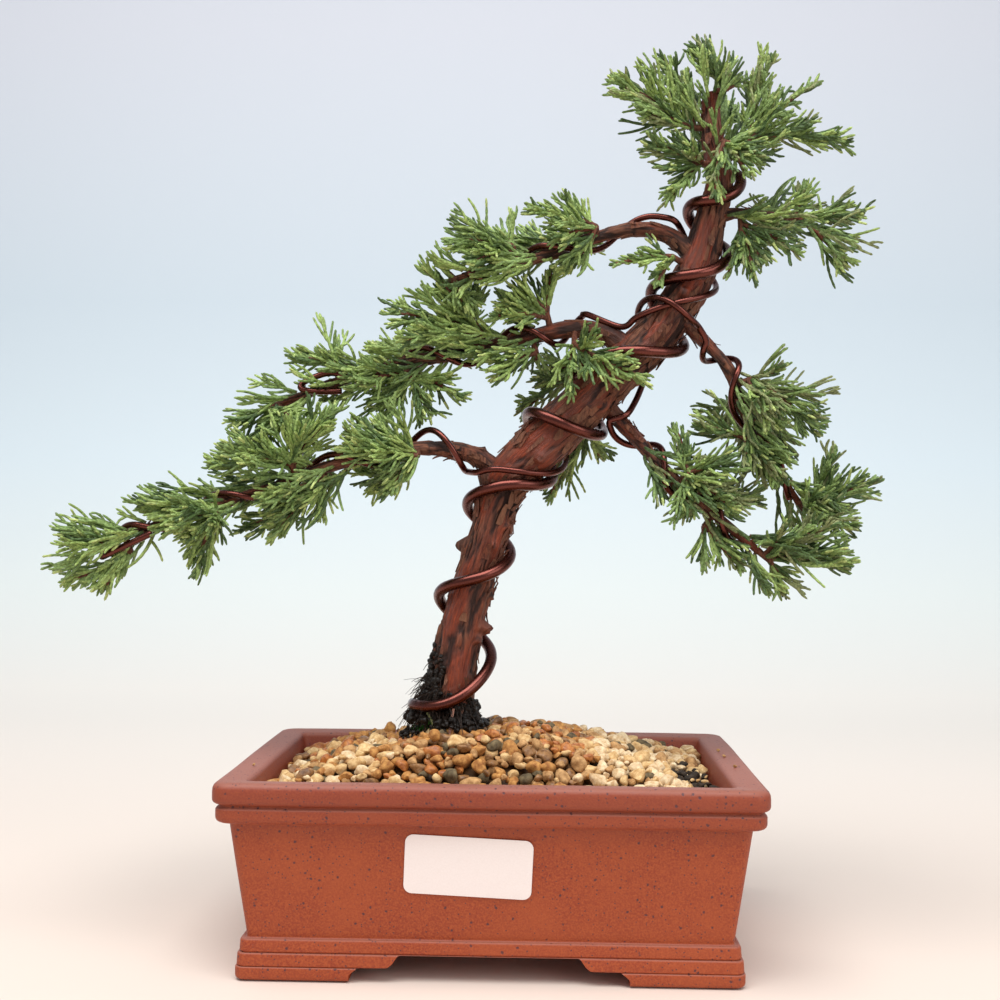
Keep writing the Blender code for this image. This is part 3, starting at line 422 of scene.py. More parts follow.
def wall_distance(angle):
    """From the trunk's foot to the tray's inner wall, at an angle round the foot."""
    across, deep = np.cos(angle), np.sin(angle)
    across = np.where(np.abs(across) < 1e-6, 1e-6, across)
    to_side = (np.where(across > 0, WALL_HALF, -WALL_HALF) - FOOT_X) / across
    to_front = (WALL_HALF - TRAY_LONGER) / np.maximum(np.abs(deep), 1e-6)
    return np.minimum(to_side, to_front)


def lump(x, y):
    """How far the soil stands above its heap at a place, between four lattice corners."""
    u, v = x / LUMP_STEP + lump_count // 2, y / LUMP_STEP + lump_count // 2
    i, j = np.floor(u).astype(int), np.floor(v).astype(int)
    u, v = u - i, v - j
    near = LUMPS[i, j] * (1 - u) + LUMPS[i + 1, j] * u
    far = LUMPS[i, j + 1] * (1 - u) + LUMPS[i + 1, j + 1] * u
    return near * (1 - v) + far * v


def mound(x, y):
    """Height of the heaped soil, which the grit's top layer follows."""
    away = np.hypot(x - FOOT_X, y)
    wall = wall_distance(np.arctan2(y, x - FOOT_X))
    share = np.clip((wall - away) / (wall - SEAT), 0.0, 1.0)
    heap = EDGE_HEIGHT + (CREST_HEIGHT - EDGE_HEIGHT) * np.sin(share * math.pi / 2) ** HEAP_BULGE
    back_right = climb(x, 20.0, 80.0) * climb(y, -30.0, 40.0)
    worn_left = climb(-x, 24.0, 40.0) * share
    return (heap + (WALL_RISE + BACK_RISE * back_right) * (1.0 - share) - LEFT_WEAR * worn_left
        + lump(x, y) * np.clip(4.0 * share * (1.0 - share), 0.0, 1.0))


def ball(fineness):
    """Unit directions and triangles of a subdivided icosahedron."""
    bm = bmesh.new()
    bmesh.ops.create_icosphere(bm, subdivisions=fineness, radius=1.0)
    points = np.array([vert.co for vert in bm.verts])
    faces = np.array([[vert.index for vert in face.verts] for face in bm.faces])
    bm.free()
    return points, faces


def pebble(directions, size, flat, rng):
    """A worn stone: rounded where about a dozen random planes meet, with slight hollows."""
    normals = rng.normal(size=(STONE_PLANES, 3))
    normals /= norm(normals, axis=1)[:, None]
    depths = rng.uniform(0.72, 1.0, STONE_PLANES)
    facing = np.maximum(directions @ normals.T, 0.05) / depths
    radius = (facing ** STONE_SHARPNESS).sum(axis=1) ** (-1 / STONE_SHARPNESS)
    radius *= (1 + 0.13 * lattice_noise(directions * 1.5 + rng.uniform(0, 99, 3))
        + 0.045 * lattice_noise(directions * 4.5 + rng.uniform(0, 99, 3)))
    stone = directions * np.clip(radius, 0.6, 1.35)[:, None]
    stone *= np.array([1.0, rng.uniform(0.72, 0.9), flat]) * size
    spin, tip = rng.uniform(0, 2 * math.pi), rng.normal(0, 0.35)
    about = np.array(Matrix.Rotation(spin, 3, "Z") @ Matrix.Rotation(tip, 3, "X"))
    return stone @ about.T


class Heap:
    """Points and faces of many small things, gathered by kind."""

    def __init__(self):
        self.points = {}
        self.faces = {}
        self.count = {}

    def put(self, kind, points, faces):
        start = self.count.setdefault(kind, 0)
        self.points.setdefault(kind, []).append(points)
        self.faces.setdefault(kind, []).append(np.asarray(faces) + start)
        self.count[kind] = start + len(points)

    def mesh(self, kind):
        """Everything of one kind as a single joined mesh."""
        return np.vstack(self.points[kind]), np.vstack(self.faces[kind]).tolist()


def grain_kind(x, y, rng):
    """Which kind of grain lies at a place: damp near the trunk, dry and pale far from it."""
    dry = climb(x, 22.0, 48.0) + np.clip((-30.0 - x) / 30.0, 0.0, 0.6) * (y < 0)
    dry = np.clip(dry + rng.normal(0, 0.16), 0.0, 1.0)
    if rng.uniform() < SLATE_SHARE:
        return "slate"
    if dry > 0.5:
        return rng.choice(["cream", "straw", "tan"], p=[0.50, 0.36, 0.14])
    return rng.choice(["tan", "ochre", "rust", "umber", "straw"], p=[0.28, 0.30, 0.16, 0.16, 0.10])


def grit(name, dark, light, wet):
    """A porous volcanic grain, mottled at about a millimetre, glossier where it is damp."""
    made, tree = new_material(name)
    place = (add(tree, "TexCoord"), "Object")
    mottle = add(tree, "TexNoise", {"Vector": place, "Scale": 1 / 0.0022, "Detail": 5.0,
        "Roughness": 0.65})
    sharp = add(tree, "MapRange", {"Value": mottle, "From Min": 0.36, "From Max": 0.64})
    tone = add(tree, "Mix", {FACTOR: sharp, FIRST: dark, SECOND: light})
    pore = add(tree, "TexNoise", {"Vector": place, "Scale": 1 / 0.0005, "Detail": 2.0})
    relief = add(tree, "Bump", {"Height": pore, "Strength": 0.5, "Distance": 0.00025})
    shader = add(tree, "BsdfPrincipled", {"Base Color": tone, "Roughness": 0.42 if wet else 0.8,
        "IOR": 1.45, "Normal": relief})
    add(tree, "OutputMaterial", {"Surface": shader})
    return made


GRAIN_FINISHES = {
    "cream": ("#c29c6e", "#f0dab2", False), "straw": ("#b98d57", "#e6c58e", False),
    "tan": ("#93683c", "#cfa26c", False), "ochre": ("#90592a", "#cd9652", False),
    "rust": ("#8a4a1f", "#c98243", True), "umber": ("#64401f", "#a3774a", True),
    "slate": ("#453824", "#7b6a4b", False), "mould": ("#1c140c", "#3c2d1e", False)}


def scatter_grit():
    """Throw grains at the mound, large ones first, keeping each that finds room in its layer."""
    rng = np.random.default_rng(GRAIN_SEED)
    heap = Heap()
    for drop, overlap, fineness, throws in GRAINS:
        directions, triangles = ball(fineness)
        places = np.zeros((0, 3))
        sizes = [rng.uniform(low, high) for tries, low, high in throws for _ in range(tries)]
        for size in sizes:
            x = rng.uniform(-WALL_HALF + WALL_MARGIN, WALL_HALF - WALL_MARGIN)
            y = rng.uniform(-WALL_HALF + TRAY_LONGER + WALL_MARGIN, WALL_HALF - TRAY_LONGER - WALL_MARGIN)
            if math.hypot(x - FOOT_X, y) < BARE_FOOT:
                continue
            apart = np.hypot(places[:, 0] - x, places[:, 1] - y)
            if (apart < overlap * (places[:, 2] + size)).any():
                continue
            places = np.vstack([places, (x, y, size)])
            flat = rng.uniform(0.6, 0.86)
            z = float(mound(x, y)) + drop + rng.normal(0, 0.4) - 0.5 * size * flat
            rich = x > 70.0 and -44.0 < y < 4.0 + rng.normal(0, 5)
            kind = "mould" if rich and rng.uniform() < MOULD_SHARE else grain_kind(x, y, rng)
            stone = pebble(directions, size * (0.62 if rich else 1.0), flat, rng)
            heap.put(kind, stone + (x, y, z), triangles)
    # A few loose grains on the rim, where they have rolled off the heap.
    directions, triangles = ball(3)
    for x, y, size in ((46.0, 60.5, 1.5), (57.0, 56.0, 2.0), (92.0, 18.0, 0.7), (92.5, 4.0, 0.7),
            (93.5, -20.0, 0.8), (-92.0, -30.0, 0.6)):
        seated = RIM_TOP - 0.4 if max(abs(x) - 89.0, abs(y) - 58.0) > 0 else RIM_TOP - 3.0
        stone = pebble(directions, size, 0.75, rng)
        heap.put("umber" if size > 1 else "tan", stone + (x, y, seated + 0.6 * size), triangles)
    return heap


def soil_bed():
    """The packed soil under the grit: the mound, lower by the depth of the loose grains."""
    angles = np.linspace(-math.pi, math.pi, 96, endpoint=False)
    rings = []
    for share in (0.0, 0.02, 0.25, 0.45, 0.65, 0.82, 1.0):
        away = 2.0 + (wall_distance(angles) - 2.0) * share
        x, y = FOOT_X + away * np.cos(angles), away * np.sin(angles)
        rings.append(np.column_stack([x, y, mound(x, y) - BED_DROP]))
    rings.append(rings[-1] * (1, 1, 0) + (0, 0, FLOOR[1] + 0.3))
    rings[-1][:, :2] *= 0.93
    return loft(rings)


grains = scatter_grit()
for kind, (dark, light, wet) in GRAIN_FINISHES.items():
    stones, triangles = grains.mesh(kind)
    show("grit_" + kind, stones, triangles, grit("pumice_" + kind, dark, light, wet), ["soil"],
        sharp=55.0)
bed_points, bed_faces = soil_bed()
show("soil_bed", bed_points, [face[::-1] for face in bed_faces], grit("damp_loam", "#3a2818", "#6b4a2b",
    True), ["soil"])


# Trunk: an old juniper stem that leans right and thickens at the bend. Its red bark peels in
# strips: smooth and orange where they have come off, rough, cracked and grey-brown where not.
# Waypoints of each centreline with the limb's radius: x, y, z, radius.
LIMBS = {
    "trunk": [(-20, 0, 84.3, 10.0), (-16, 1, 114, 9.6), (-12, 1, 134, 8.9), (-5, 0, 157, 8.3),
              (1, 0, 177, 9.0), (8, 0, 188, 10.0), (25, -1, 204, 10.6), (46, -1, 225, 10.1),
              (66, 0, 246, 9.4), (79, 1, 268, 8.7), (85, 1, 289, 6.9), (89, 0, 306, 5.6),
              (86, 0, 324, 4.6), (85, 0, 341, 3.3)],
    "bough_lower_left": [(2, 0, 185, 3.9), (-12, -1, 194, 3.7), (-38, -4, 195, 2.9),
                         (-67, -6, 188, 2.5), (-97, -8, 177, 2.1), (-126, -10, 168, 1.8),
                         (-150, -13, 158, 1.4), (-161, -15, 155, 1.1)],
    "bough_middle_left": [(52, 0, 236, 5.0), (43, 1, 243, 4.2), (27, 3, 245, 3.7),
                          (-2, 5, 238, 3.0), (-40, 8, 231, 2.6), (-66, 9, 224, 2.2),
                          (-90, 10, 215, 1.6)],
    "bough_upper_left": [(78, 0, 276, 4.0), (68, -1, 283, 3.3), (57, -2, 285, 3.1),
                         (40, -3, 282, 2.8), (16, -4, 273, 2.4), (-15, -4, 265, 1.9)],
    "bough_lower_right": [(41, 2, 216, 3.6), (51, 0, 205, 3.0), (59, -4, 196, 2.8),
                          (70, -6, 184, 2.6), (85, -8, 171, 2.2), (104, -10, 155, 1.6)],
    "bough_upper_right": [(69, 1, 254, 3.4), (82, 1, 241, 2.9), (93, 2, 229, 2.6),
                          (99, 2, 214, 2.3), (106, 4, 198, 2.1), (123, 8, 175, 1.6)],
    "bough_top_right": [(84, 1, 289, 3.0), (96, 0, 292, 2.2), (116, -2, 290, 1.5)],
    "bough_apex_right": [(87, 0, 311, 2.6), (98, 0, 320, 1.7)],
}
FLARE = 2.6
FLARE_HEIGHT = 14.0
BARK_LOBES = 0.06
TRUNK_SIDES = 112
TRUNK_RING = 0.85
# Layers of the bark's relief, strips, cracks, plates, grain and fissures: the width and length
# of their cells and the number of their noise.
BARK_LAYERS = ((1.9, 15.0, 4), (2.6, 10.0, 5), (3.4, 7.0, 6), (0.8, 4.0, 7), (1.3, 7.0, 10))
# How deep or high each layer goes, as a share of the bark's depth, and the steps to a plate.
CRACK_DEPTH = 0.8
FISSURE_DEPTH = 0.4
STRIP_HEIGHT = 0.42
PLATE_HEIGHT = 0.6
GRAIN_HEIGHT = 0.2
PLATE_STEPS = 3.0
# Loose scraps take a random height between these, which sets how much painted shade and highlight they
# get.
SCRAP_TONES = (0.35, 0.95)
SCRAP_THICK = 0.3
# Knots and stubs: distance up the trunk, angle round it, radius, how far it stands out.
KNOTS = [(41, 75, 2.6, 3.2), (36, 60, 1.8, 2.0), (55, 95, 2.0, 1.4), (75, 30, 1.6, 1.1),
         (84, 48, 1.5, 1.0), (24, -35, 1.7, 1.2), (118, 20, 2.2, 1.2), (150, 35, 2.6, 1.4),
         (168, -20, 2.0, 1.0), (205, -5, 2.4, 1.6), (214, 25, 1.8, 1.2), (243, -60, 2.2, 1.6),
         (130, 170, 3.0, 1.8), (60, 190, 2.6, 1.6), (185, 160, 2.6, 1.5), (95, -150, 2.4, 1.4),
         (232, 120, 2.0, 1.2), (262, 30, 1.6, 1.1), (12, 150, 2.8, 1.6), (18, -120, 2.4, 1.5)]
# Cut stubs: distance up the trunk, angle round it, lean, reach, radius.
STUBS = [(72.0, -100.0, -0.5, 4.2, 2.4), (98.0, -75.0, 0.9, 4.4, 2.4)]
# Smooth patches where the bark has peeled: distance, angle, half-length, half-width in degrees.
PEELED = [(52, -28, 24, 48), (20, 12, 16, 40), (96, -22, 15, 46), (128, -18, 20, 46),
          (160, -60, 24, 50), (186, 8, 12, 42), (222, -10, 20, 60), (258, -30, 14, 70),
          (110, 150, 20, 60), (200, 200, 26, 60), (40, 160, 22, 50), (292, 0, 16, 180)]


def unit(vector):
    """A vector scaled to length one."""
    return vector / norm(vector)


def spline(rows, step):
    """Catmull-Rom curve through rows of numbers, sampled about every step of the first three."""
    rows = np.array(rows, float)
    padded = np.vstack([2 * rows[0] - rows[1], rows, 2 * rows[-1] - rows[-2]])
    curve = []
    for i in range(1, len(padded) - 2):
        a, b, c, d = padded[i - 1:i + 3]
        steps = max(1, round(norm(c[:3] - b[:3]) / step))
        for k in range(steps):
            t = k / steps
            curve.append(0.5 * (2 * b + (c - a) * t + (2 * a - 5 * b + 4 * c - d) * t ** 2
                + (3 * b - a - 3 * c + d) * t ** 3))
    curve.append(rows[-1])
    return np.array(curve)


class Limb:
    """The centreline of the trunk or of a bough, with its radius, every millimetre."""

    def __init__(self, waypoints):
        curve = spline(waypoints, 1.0)
        self.points = curve[:, :3]
        self.radii = curve[:, 3]
        lengths = norm(np.diff(self.points, axis=0), axis=1)
        self.distance = np.concatenate([[0.0], np.cumsum(lengths)])
        self.length = self.distance[-1]

    def centre(self, along):
        point = np.array([np.interp(along, self.distance, self.points[:, i]) for i in range(3)])
        beyond = max(0.0, along - self.length)
        return point + beyond * unit(self.points[-1] - self.points[-4])

    def radius(self, along):
        return float(np.interp(along, self.distance, self.radii))

    def frame(self, along):
        """Unit vectors along the limb, towards the front, and to the right of both."""
        tangent = unit(self.centre(min(along + 2.0, self.length)) - self.centre(along - 2.0))
        front = np.array([0.0, -1.0, 0.0])
        front = unit(front - front.dot(tangent) * tangent)
        return tangent, front, np.cross(tangent, front)

    def around(self, along, degrees, out):
        """The point that lies out millimetres off the centreline at an angle round the limb."""
        _, front, right = self.frame(along)
        angle = math.radians(degrees)
        return self.centre(along) + out * (math.cos(angle) * front + math.sin(angle) * right)


def bark_share(angle, along, lobes=BARK_LOBES):
    """How far out the lobed bark lies at an angle round a limb, as a share of its radius."""
    return 1.0 - lobes + lobes * np.sin(3 * angle + along / 23.0)


def nearness(angle, along, place, turn, half_length, half_turn):
    """One at a place on a limb, falling smoothly to nothing at an oval outline round it."""
    off = (angle - math.radians(turn) + math.pi) % (2 * math.pi) - math.pi
    away = np.hypot((along - place) / half_length, off / math.radians(half_turn))
    return np.clip(1.3 - away, 0.0, 1.0) ** 2 * 1.6


def bark_mesh(limb, sides, step, seed, depth, knots=(), peeled=(), flared=0.0, root_swell=0.0):
    """A limb with its bark's relief, and for each point its place unrolled and its roughness."""
    stations = np.linspace(0.0, limb.length, max(8, round(limb.length / step)))
    angles = np.linspace(0.0, 2 * math.pi, sides, endpoint=False)
    angle, along = np.meshgrid(angles, stations)
    mean = float(limb.radii.mean())
    place = np.stack([mean * np.cos(angle), mean * np.sin(angle), along], axis=-1)
    flat = place.reshape(-1, 3)
    drift = np.column_stack([lattice_noise(flat / 9.0, seed + k) for k in (1, 2, 3)])
    bent = flat + drift * (0.9, 0.9, 2.5)
    layers = [lattice_noise(bent / (wide, wide, long), seed + number).reshape(angle.shape)
        for wide, long, number in BARK_LAYERS]
    strips, cracks, plates, fine, fissures = layers
    cracks, fissures = np.exp(-(cracks / 0.16) ** 2), np.exp(-(fissures / 0.14) ** 2)
    rough = lattice_noise(flat / (7.0, 7.0, 19.0), seed + 8).reshape(angle.shape)
    rough = 0.74 + 0.6 * rough
    for patch in peeled:
        rough = rough - 0.8 * np.clip(nearness(angle, along, *patch), 0.0, 1.0)
    rough = np.clip(rough, 0.05, 1.0)
    steps = plates * PLATE_STEPS
    steps = (np.floor(steps) + np.clip(steps % 1.0 * 4.0, 0.0, 1.0)) / PLATE_STEPS
    relief = (-CRACK_DEPTH * cracks - FISSURE_DEPTH * fissures + STRIP_HEIGHT * strips
        + PLATE_HEIGHT * steps - 0.1)
    relief = depth * (rough * relief + GRAIN_HEIGHT * fine * (0.5 + rough))
    # The relief's height, kept as shade: the bark's finish paints shade where it is low, in the cracks,
    # and highlight where it is high.
    shade = np.clip(relief / depth + 0.55, 0.0, 1.0)
    for where, turn, size, height in knots:
        spread = math.degrees(size / limb.radius(where))
        bump = np.clip(nearness(angle, along, where, turn, size * 1.5, spread * 1.5), 0.0, 1.6)
        crumble = 1.0 + 0.35 * lattice_noise(flat / 1.1, seed + 9).reshape(angle.shape)
        relief = relief + height * bump * crumble * (1 - 0.6 * np.clip(bump - 1.1, 0.0, 0.5))
        shade = shade - 0.5 * np.clip(bump - 0.9, 0.0, 0.5)
    base = np.interp(stations, limb.distance, limb.radii)[:, None]
    lobes = BARK_LOBES
    if flared:
        spread = np.exp(-along / FLARE_HEIGHT)
        base = base + flared * spread
        lobes = lobes + 0.05 * spread
        relief = relief + spread * 1.2 * np.sin(5 * angle + 0.8) * flared / FLARE
    base = base + root_swell * np.exp(-along / 9.0)
    radius = base * bark_share(angle, along, lobes) + np.minimum(relief, 0.35 + 9 * (relief > 0.8))
    frames = [limb.frame(max(s, 2.0) if flared else s) for s in stations]
    if flared:
        frames[0] = (frames[0][0], np.array([0.0, -1.0, 0.0]), np.array([1.0, 0.0, 0.0]))
    front = np.array([f[1] for f in frames])[:, None]
    right = np.array([f[2] for f in frames])[:, None]
    centres = np.array([limb.centre(s) for s in stations])[:, None]
    outward = np.cos(angle)[..., None] * front + np.sin(angle)[..., None] * right
    return centres + radius[..., None] * outward, place, shade, rough


def lay_bark(made, place, height, rough):
    """Give each point of a piece what its bark reads: its unrolled place, the height that sets its
    painted shade and highlight, and roughness.
    """
    for name, kind, field, values in (("unrolled", "FLOAT_VECTOR", "vector", place * MM),
            ("height", "FLOAT", "value", height), ("rough", "FLOAT", "value", rough)):
        made.data.attributes.new(name, kind, "POINT").data.foreach_set(field, values.ravel())


def show_bark(name, rings, place, shade, rough, replaced, extra):
    """Make a bark piece from its rings and its loose scraps."""
    points, faces = loft(rings)
    places, shades, roughs = [place.reshape(-1, 3)], [shade.ravel()], [rough.ravel()]
    for scrap_points, scrap_faces, tone in extra:
        faces += [[i + len(points) for i in face] for face in scrap_faces]
        points = np.vstack([points, scrap_points])
        places.append(scrap_points)
        shades.append(np.full(len(scrap_points), tone))
        roughs.append(np.full(len(scrap_points), 0.9))
    made = show(name, points, faces, BARK, replaced, sharp=50.0)
    lay_bark(made, np.vstack(places), np.concatenate(shades), np.concatenate(roughs))


def peeling_bark():
    """Juniper bark: fibrous and matt, grey-brown outside, orange-red beneath, with painted shade in the
    cracks and painted highlight on the crests.
    """
    made, tree = new_material("juniper_bark")
    unrolled = (add(tree, "Attribute", attribute_name="unrolled"), "Vector")
    height = (add(tree, "Attribute", attribute_name="height"), "Fac")
    rough = (add(tree, "Attribute", attribute_name="rough"), "Fac")
    stretch = add(tree, "VectorMath", {0: unrolled, 1: (1.0, 1.0, 0.14)}, operation="MULTIPLY")
    fibre = add(tree, "TexNoise", {"Vector": stretch, "Scale": 1 / 0.0009, "Detail": 5.0,
        "Roughness": 0.65})
    patch = add(tree, "TexNoise", {"Vector": stretch, "Scale": 1 / 0.0048, "Detail": 3.0})
    streak = add(tree, "MapRange", {"Value": fibre, "From Min": 0.34, "From Max": 0.66})
    sheet = add(tree, "TexNoise", {"Vector": stretch, "Scale": 1 / 0.003, "Detail": 4.0,
        "Distortion": 0.8})
    aged = add(tree, "MapRange", {"Value": sheet, "From Min": 0.40, "From Max": 0.62, "To Max": 0.75})
    fresh = add(tree, "Mix", {FACTOR: streak, FIRST: "#5a200e", SECOND: "#96401f"})
    inner = add(tree, "Mix", {FACTOR: aged, FIRST: fresh, SECOND: "#5d3123"})
    outer = add(tree, "Mix", {FACTOR: streak, FIRST: "#35180d", SECOND: "#84543c"})
    worn = add(tree, "MapRange", {"Value": rough, "From Min": 0.25, "From Max": 0.8})
    mixed = add(tree, "Math", {0: worn, 1: patch}, operation="MULTIPLY")
    weight = add(tree, "Math", {0: mixed, 1: 1.7}, operation="MULTIPLY", use_clamp=True)
    skin = add(tree, "Mix", {FACTOR: weight, FIRST: inner, SECOND: outer})
    # Painted shade: the low places, the cracks, go nearly black.
    low = add(tree, "MapRange", {"Value": height, "From Min": 0.05, "From Max": 0.42, "To Min": 0.85,
        "To Max": 0.0})
    painted_crack_shade = add(tree, "Mix", {FACTOR: low, FIRST: skin, SECOND: "#1a0b07"})
    # Painted highlight: the high crests turn paler.
    crest = add(tree, "MapRange", {"Value": height, "From Min": 0.68, "From Max": 0.98, "To Max": 0.45})
    painted_crest_highlight = add(tree, "Mix", {FACTOR: crest, FIRST: painted_crack_shade, SECOND: "#96684c"})
    relief = add(tree, "Bump", {"Height": fibre, "Strength": 1.0, "Distance": 0.0011})
    matt = add(tree, "MapRange", {"Value": rough, "To Min": 0.36, "To Max": 0.72})
    shader = add(tree, "BsdfPrincipled", {"Base Color": painted_crest_highlight, "Roughness": matt, "IOR": 1.45,
        "Normal": relief})
    add(tree, "OutputMaterial", {"Surface": shader})
    return made


def along_rings(points, radii, sides):
    """Rings of a tube that follows a line of points."""
    points = np.array(points, float)
    turns = 2 * math.pi * np.arange(sides)[:, None] / sides
    rings = []
    side = np.cross(unit(points[1] - points[0]), (0.0, 0.0, 1.0))
    if norm(side) < 0.2:
        side = np.array([1.0, 0.0, 0.0])
    for i, point in enumerate(points):
        tangent = unit(points[min(i + 1, len(points) - 1)] - points[max(i - 1, 0)])
        side = unit(side - side.dot(tangent) * tangent)
        other = np.cross(tangent, side)
        rings.append(point + radii[i] * (np.cos(turns) * side + np.sin(turns) * other))
    return np.array(rings)


def flake(limb, along, degrees, length, width, lift, rng):
    """A loose strip of bark, still held at one end and curled away at the other."""
    rows = []
    upward = rng.random() < 0.5
    for i in range(5):
        share = i / 4
        free = share if upward else 1 - share
        spot = along + (share - 0.5) * length
        out = limb.radius(spot) * bark_share(math.radians(degrees), spot) - 0.15
        out += lift * free ** 1.6
        half = width * (0.5 - 0.32 * free ** 2) / limb.radius(spot)
        left, right = degrees - math.degrees(half), degrees + math.degrees(half)
        rows.append([limb.around(spot, left, out), limb.around(spot, right, out),
            limb.around(spot, right, out + SCRAP_THICK), limb.around(spot, left, out + SCRAP_THICK)])
    points, faces = loft(rows)
    return points, [face[::-1] for face in faces], rng.uniform(*SCRAP_TONES)


def flakes(limb, count, rng, near):
    """Loose strips over a limb, most of them where near says."""
    made = []
    for _ in range(count):
        if rng.random() < 0.7:
            place, turn, reach, spread = near[rng.randrange(len(near))]
            along, degrees = rng.gauss(place, reach), rng.gauss(turn, spread)
        else:
            along, degrees = rng.uniform(6, limb.length - 8), rng.uniform(0, 360)
        along = min(max(along, 5.0), limb.length - 6.0)
        size = limb.radius(along)
        made.append(flake(limb, along, degrees, rng.uniform(3.0, 9.5) * min(1.0, size / 6 + 0.3),
            rng.uniform(0.3, 0.75) * min(size, 5.0), rng.uniform(0.3, 1.7), rng))
    return made


BARK = peeling_bark()
limbs = {name: Limb(waypoints) for name, waypoints in LIMBS.items()}
trunk = limbs["trunk"]
rng = random.Random(3)
# Where the outer bark hangs on: distance, angle, and the spread of both.
RAGGED = [(58, 88, 10, 22), (78, 75, 14, 20), (100, 60, 8, 25), (146, 30, 12, 30),
          (205, 20, 16, 30), (92, -60, 6, 20), (170, 75, 14, 20), (120, 180, 20, 40),
          (118, -70, 5, 16), (128, 20, 12, 40)]
scraps = flakes(trunk, 230, rng, RAGGED)
for along, degrees, rise, reach, radius in STUBS:
    base = trunk.around(along, degrees, trunk.radius(along) - 3.0)
    heading = unit(base - trunk.centre(along) + rise * trunk.frame(along)[0] * 3.0)
    line = [base + heading * (reach + 2.4) * share for share in (0.0, 0.35, 0.7, 0.92, 1.0)]
    ring = along_rings(line, [radius * 2.1, radius * 1.55, radius, radius * 0.6, 0.3], 14)
    ring += 0.22 * lattice_noise(ring.reshape(-1, 3) / 1.1, 2).reshape(len(line), 14, 1)
    points, faces = loft(ring)
    scraps.append((points, faces, 0.3))
show_bark("trunk_bark", *bark_mesh(trunk, TRUNK_SIDES, TRUNK_RING, 20, 1.35, KNOTS, PEELED, flared=FLARE),
    ["trunk"], scraps)

# Boughs: side limbs that grow out of the trunk with the same peeling bark, in finer strips, and
# swell a little where they leave it.
BOUGH_SIDES = 30
BOUGH_RING = 1.1
ROOT_SWELL = 1.1
for number, (name, limb) in enumerate(limbs.items()):
    if name == "trunk":
        continue
    bumps = [(rng.uniform(8, limb.length - 4), rng.uniform(0, 360), rng.uniform(0.9, 1.5),
        rng.uniform(0.5, 1.1)) for _ in range(round(limb.length / 14))]
    show_bark(name + "_bark", *bark_mesh(limb, BOUGH_SIDES, BOUGH_RING, 40 + 10 * number, 0.6, bumps,
        root_swell=ROOT_SWELL), [name], flakes(limb, round(limb.length / 3.5), rng, [(14, -80, 8, 60)]))

# Peat: the black, wet root-ball soil and moss that still cling to the trunk's foot, heaped
# highest on its left side, with fibrous roots that stick out over the grit.
PEAT_SEED = 23
CLUMPS = 900
STREWN_CLUMPS = 420
# How far up the trunk clumps and fibres cling, and the side of it that stays bare, in degrees.
CLUMP_SPREAD = 11.0
CLUMP_TOP = 34
FIBRE_SPREAD = 9.0
FIBRE_TOP = 30
BARE_SIDE = (-20, 150)
FIBRES = 420
FIBRE_SIDES = 3


def wet_peat(name, dark, light, roughness):
    """Crumbly organic matter, nearly black, glistening where water films the crumbs."""
    return mottled(name, dark, light, 0.0008, 4.0, 0.8, 0.0006, roughness, 1.33)


def stray(rng, spread):
    """A random offset."""
    return np.array([rng.gauss(0, spread) for _ in range(3)])


def curved_fibre(start, heading, length, sag, radius, rng, steps=5):
    """A fine root or blade that leaves a place, bends and hangs."""
    wander = stray(rng, 0.25)
    shares = np.linspace(0.0, 1.0, steps)[:, None]
    line = start + length * (shares * heading + shares ** 2 * (wander - (0, 0, sag)))
    return loft(along_rings(line, np.linspace(radius, radius * 0.35, steps), FIBRE_SIDES))


stone_rng = np.random.default_rng(PEAT_SEED)
rng = random.Random(PEAT_SEED)
peat = Heap()
directions, triangles = ball(2)
for _ in range(CLUMPS):
    up = abs(rng.gauss(0, CLUMP_SPREAD))
    degrees = rng.gauss(-70, 42) if up > 11 else rng.uniform(-180, 180)
    if up > CLUMP_TOP or (up > rng.uniform(7, 14) and BARE_SIDE[0] < degrees < BARE_SIDE[1]):
        continue
    size = rng.uniform(0.5, 2.2) * (1.0 - up / 60)
    out = trunk.radius(up) + FLARE * math.exp(-up / FLARE_HEIGHT) - 0.2 * size
    spot = trunk.around(up, degrees, out + (rng.uniform(0, 5) if up < 3 else 0.0))
    clump = pebble(directions, size, 0.8, stone_rng) * (1, 1, rng.uniform(0.7, 1.6))
    peat.put("peat", clump + spot, triangles)
for _ in range(STREWN_CLUMPS):
    turn, away = rng.uniform(-math.pi, math.pi), 11.0 + 7.5 * rng.random() ** 2
    x, y = FOOT_X + away * math.cos(turn), away * math.sin(turn)
    if x > -8 and rng.random() < 0.75:
        continue
    size = rng.uniform(0.5, 1.3)
    clump = pebble(directions, size, 0.7, stone_rng)
    peat.put("peat", clump + (x, y, float(mound(x, y)) + rng.uniform(0.0, 2.2)), triangles)
peat_points, peat_faces = peat.mesh("peat")
fibres = Heap()
for _ in range(FIBRES):
    up = abs(rng.gauss(0, FIBRE_SPREAD))
    degrees = rng.gauss(-60, 55) if up > 4 else rng.uniform(-180, 180)
    if up > FIBRE_TOP or (up > 14 and BARE_SIDE[0] < degrees < BARE_SIDE[1]):
        continue
    start = trunk.around(up, degrees, trunk.radius(up) + FLARE * math.exp(-up / FLARE_HEIGHT))
    heading = unit(start - trunk.centre(up)) + np.array([0, 0, rng.uniform(-0.3, 0.6)])
    points, faces = curved_fibre(start, heading, rng.uniform(2.5, 7.0), rng.uniform(0.7, 1.6),
        rng.uniform(0.14, 0.34), rng)
    fibres.put("fibre", points, [face for face in faces if len(face) == 4])
fibre_points, fibre_faces = fibres.mesh("fibre")
show("peat_clumps", peat_points, peat_faces, wet_peat("wet_peat", "#0b0806", "#241c16", 0.38),
    ["peat_collar"], sharp=60.0)
show("peat_fibres", fibre_points, fibre_faces, wet_peat("root_fibre", "#120c09", "#3a2a20", 0.5),
    ["peat_collar"], sharp=80.0)
moss = Heap()
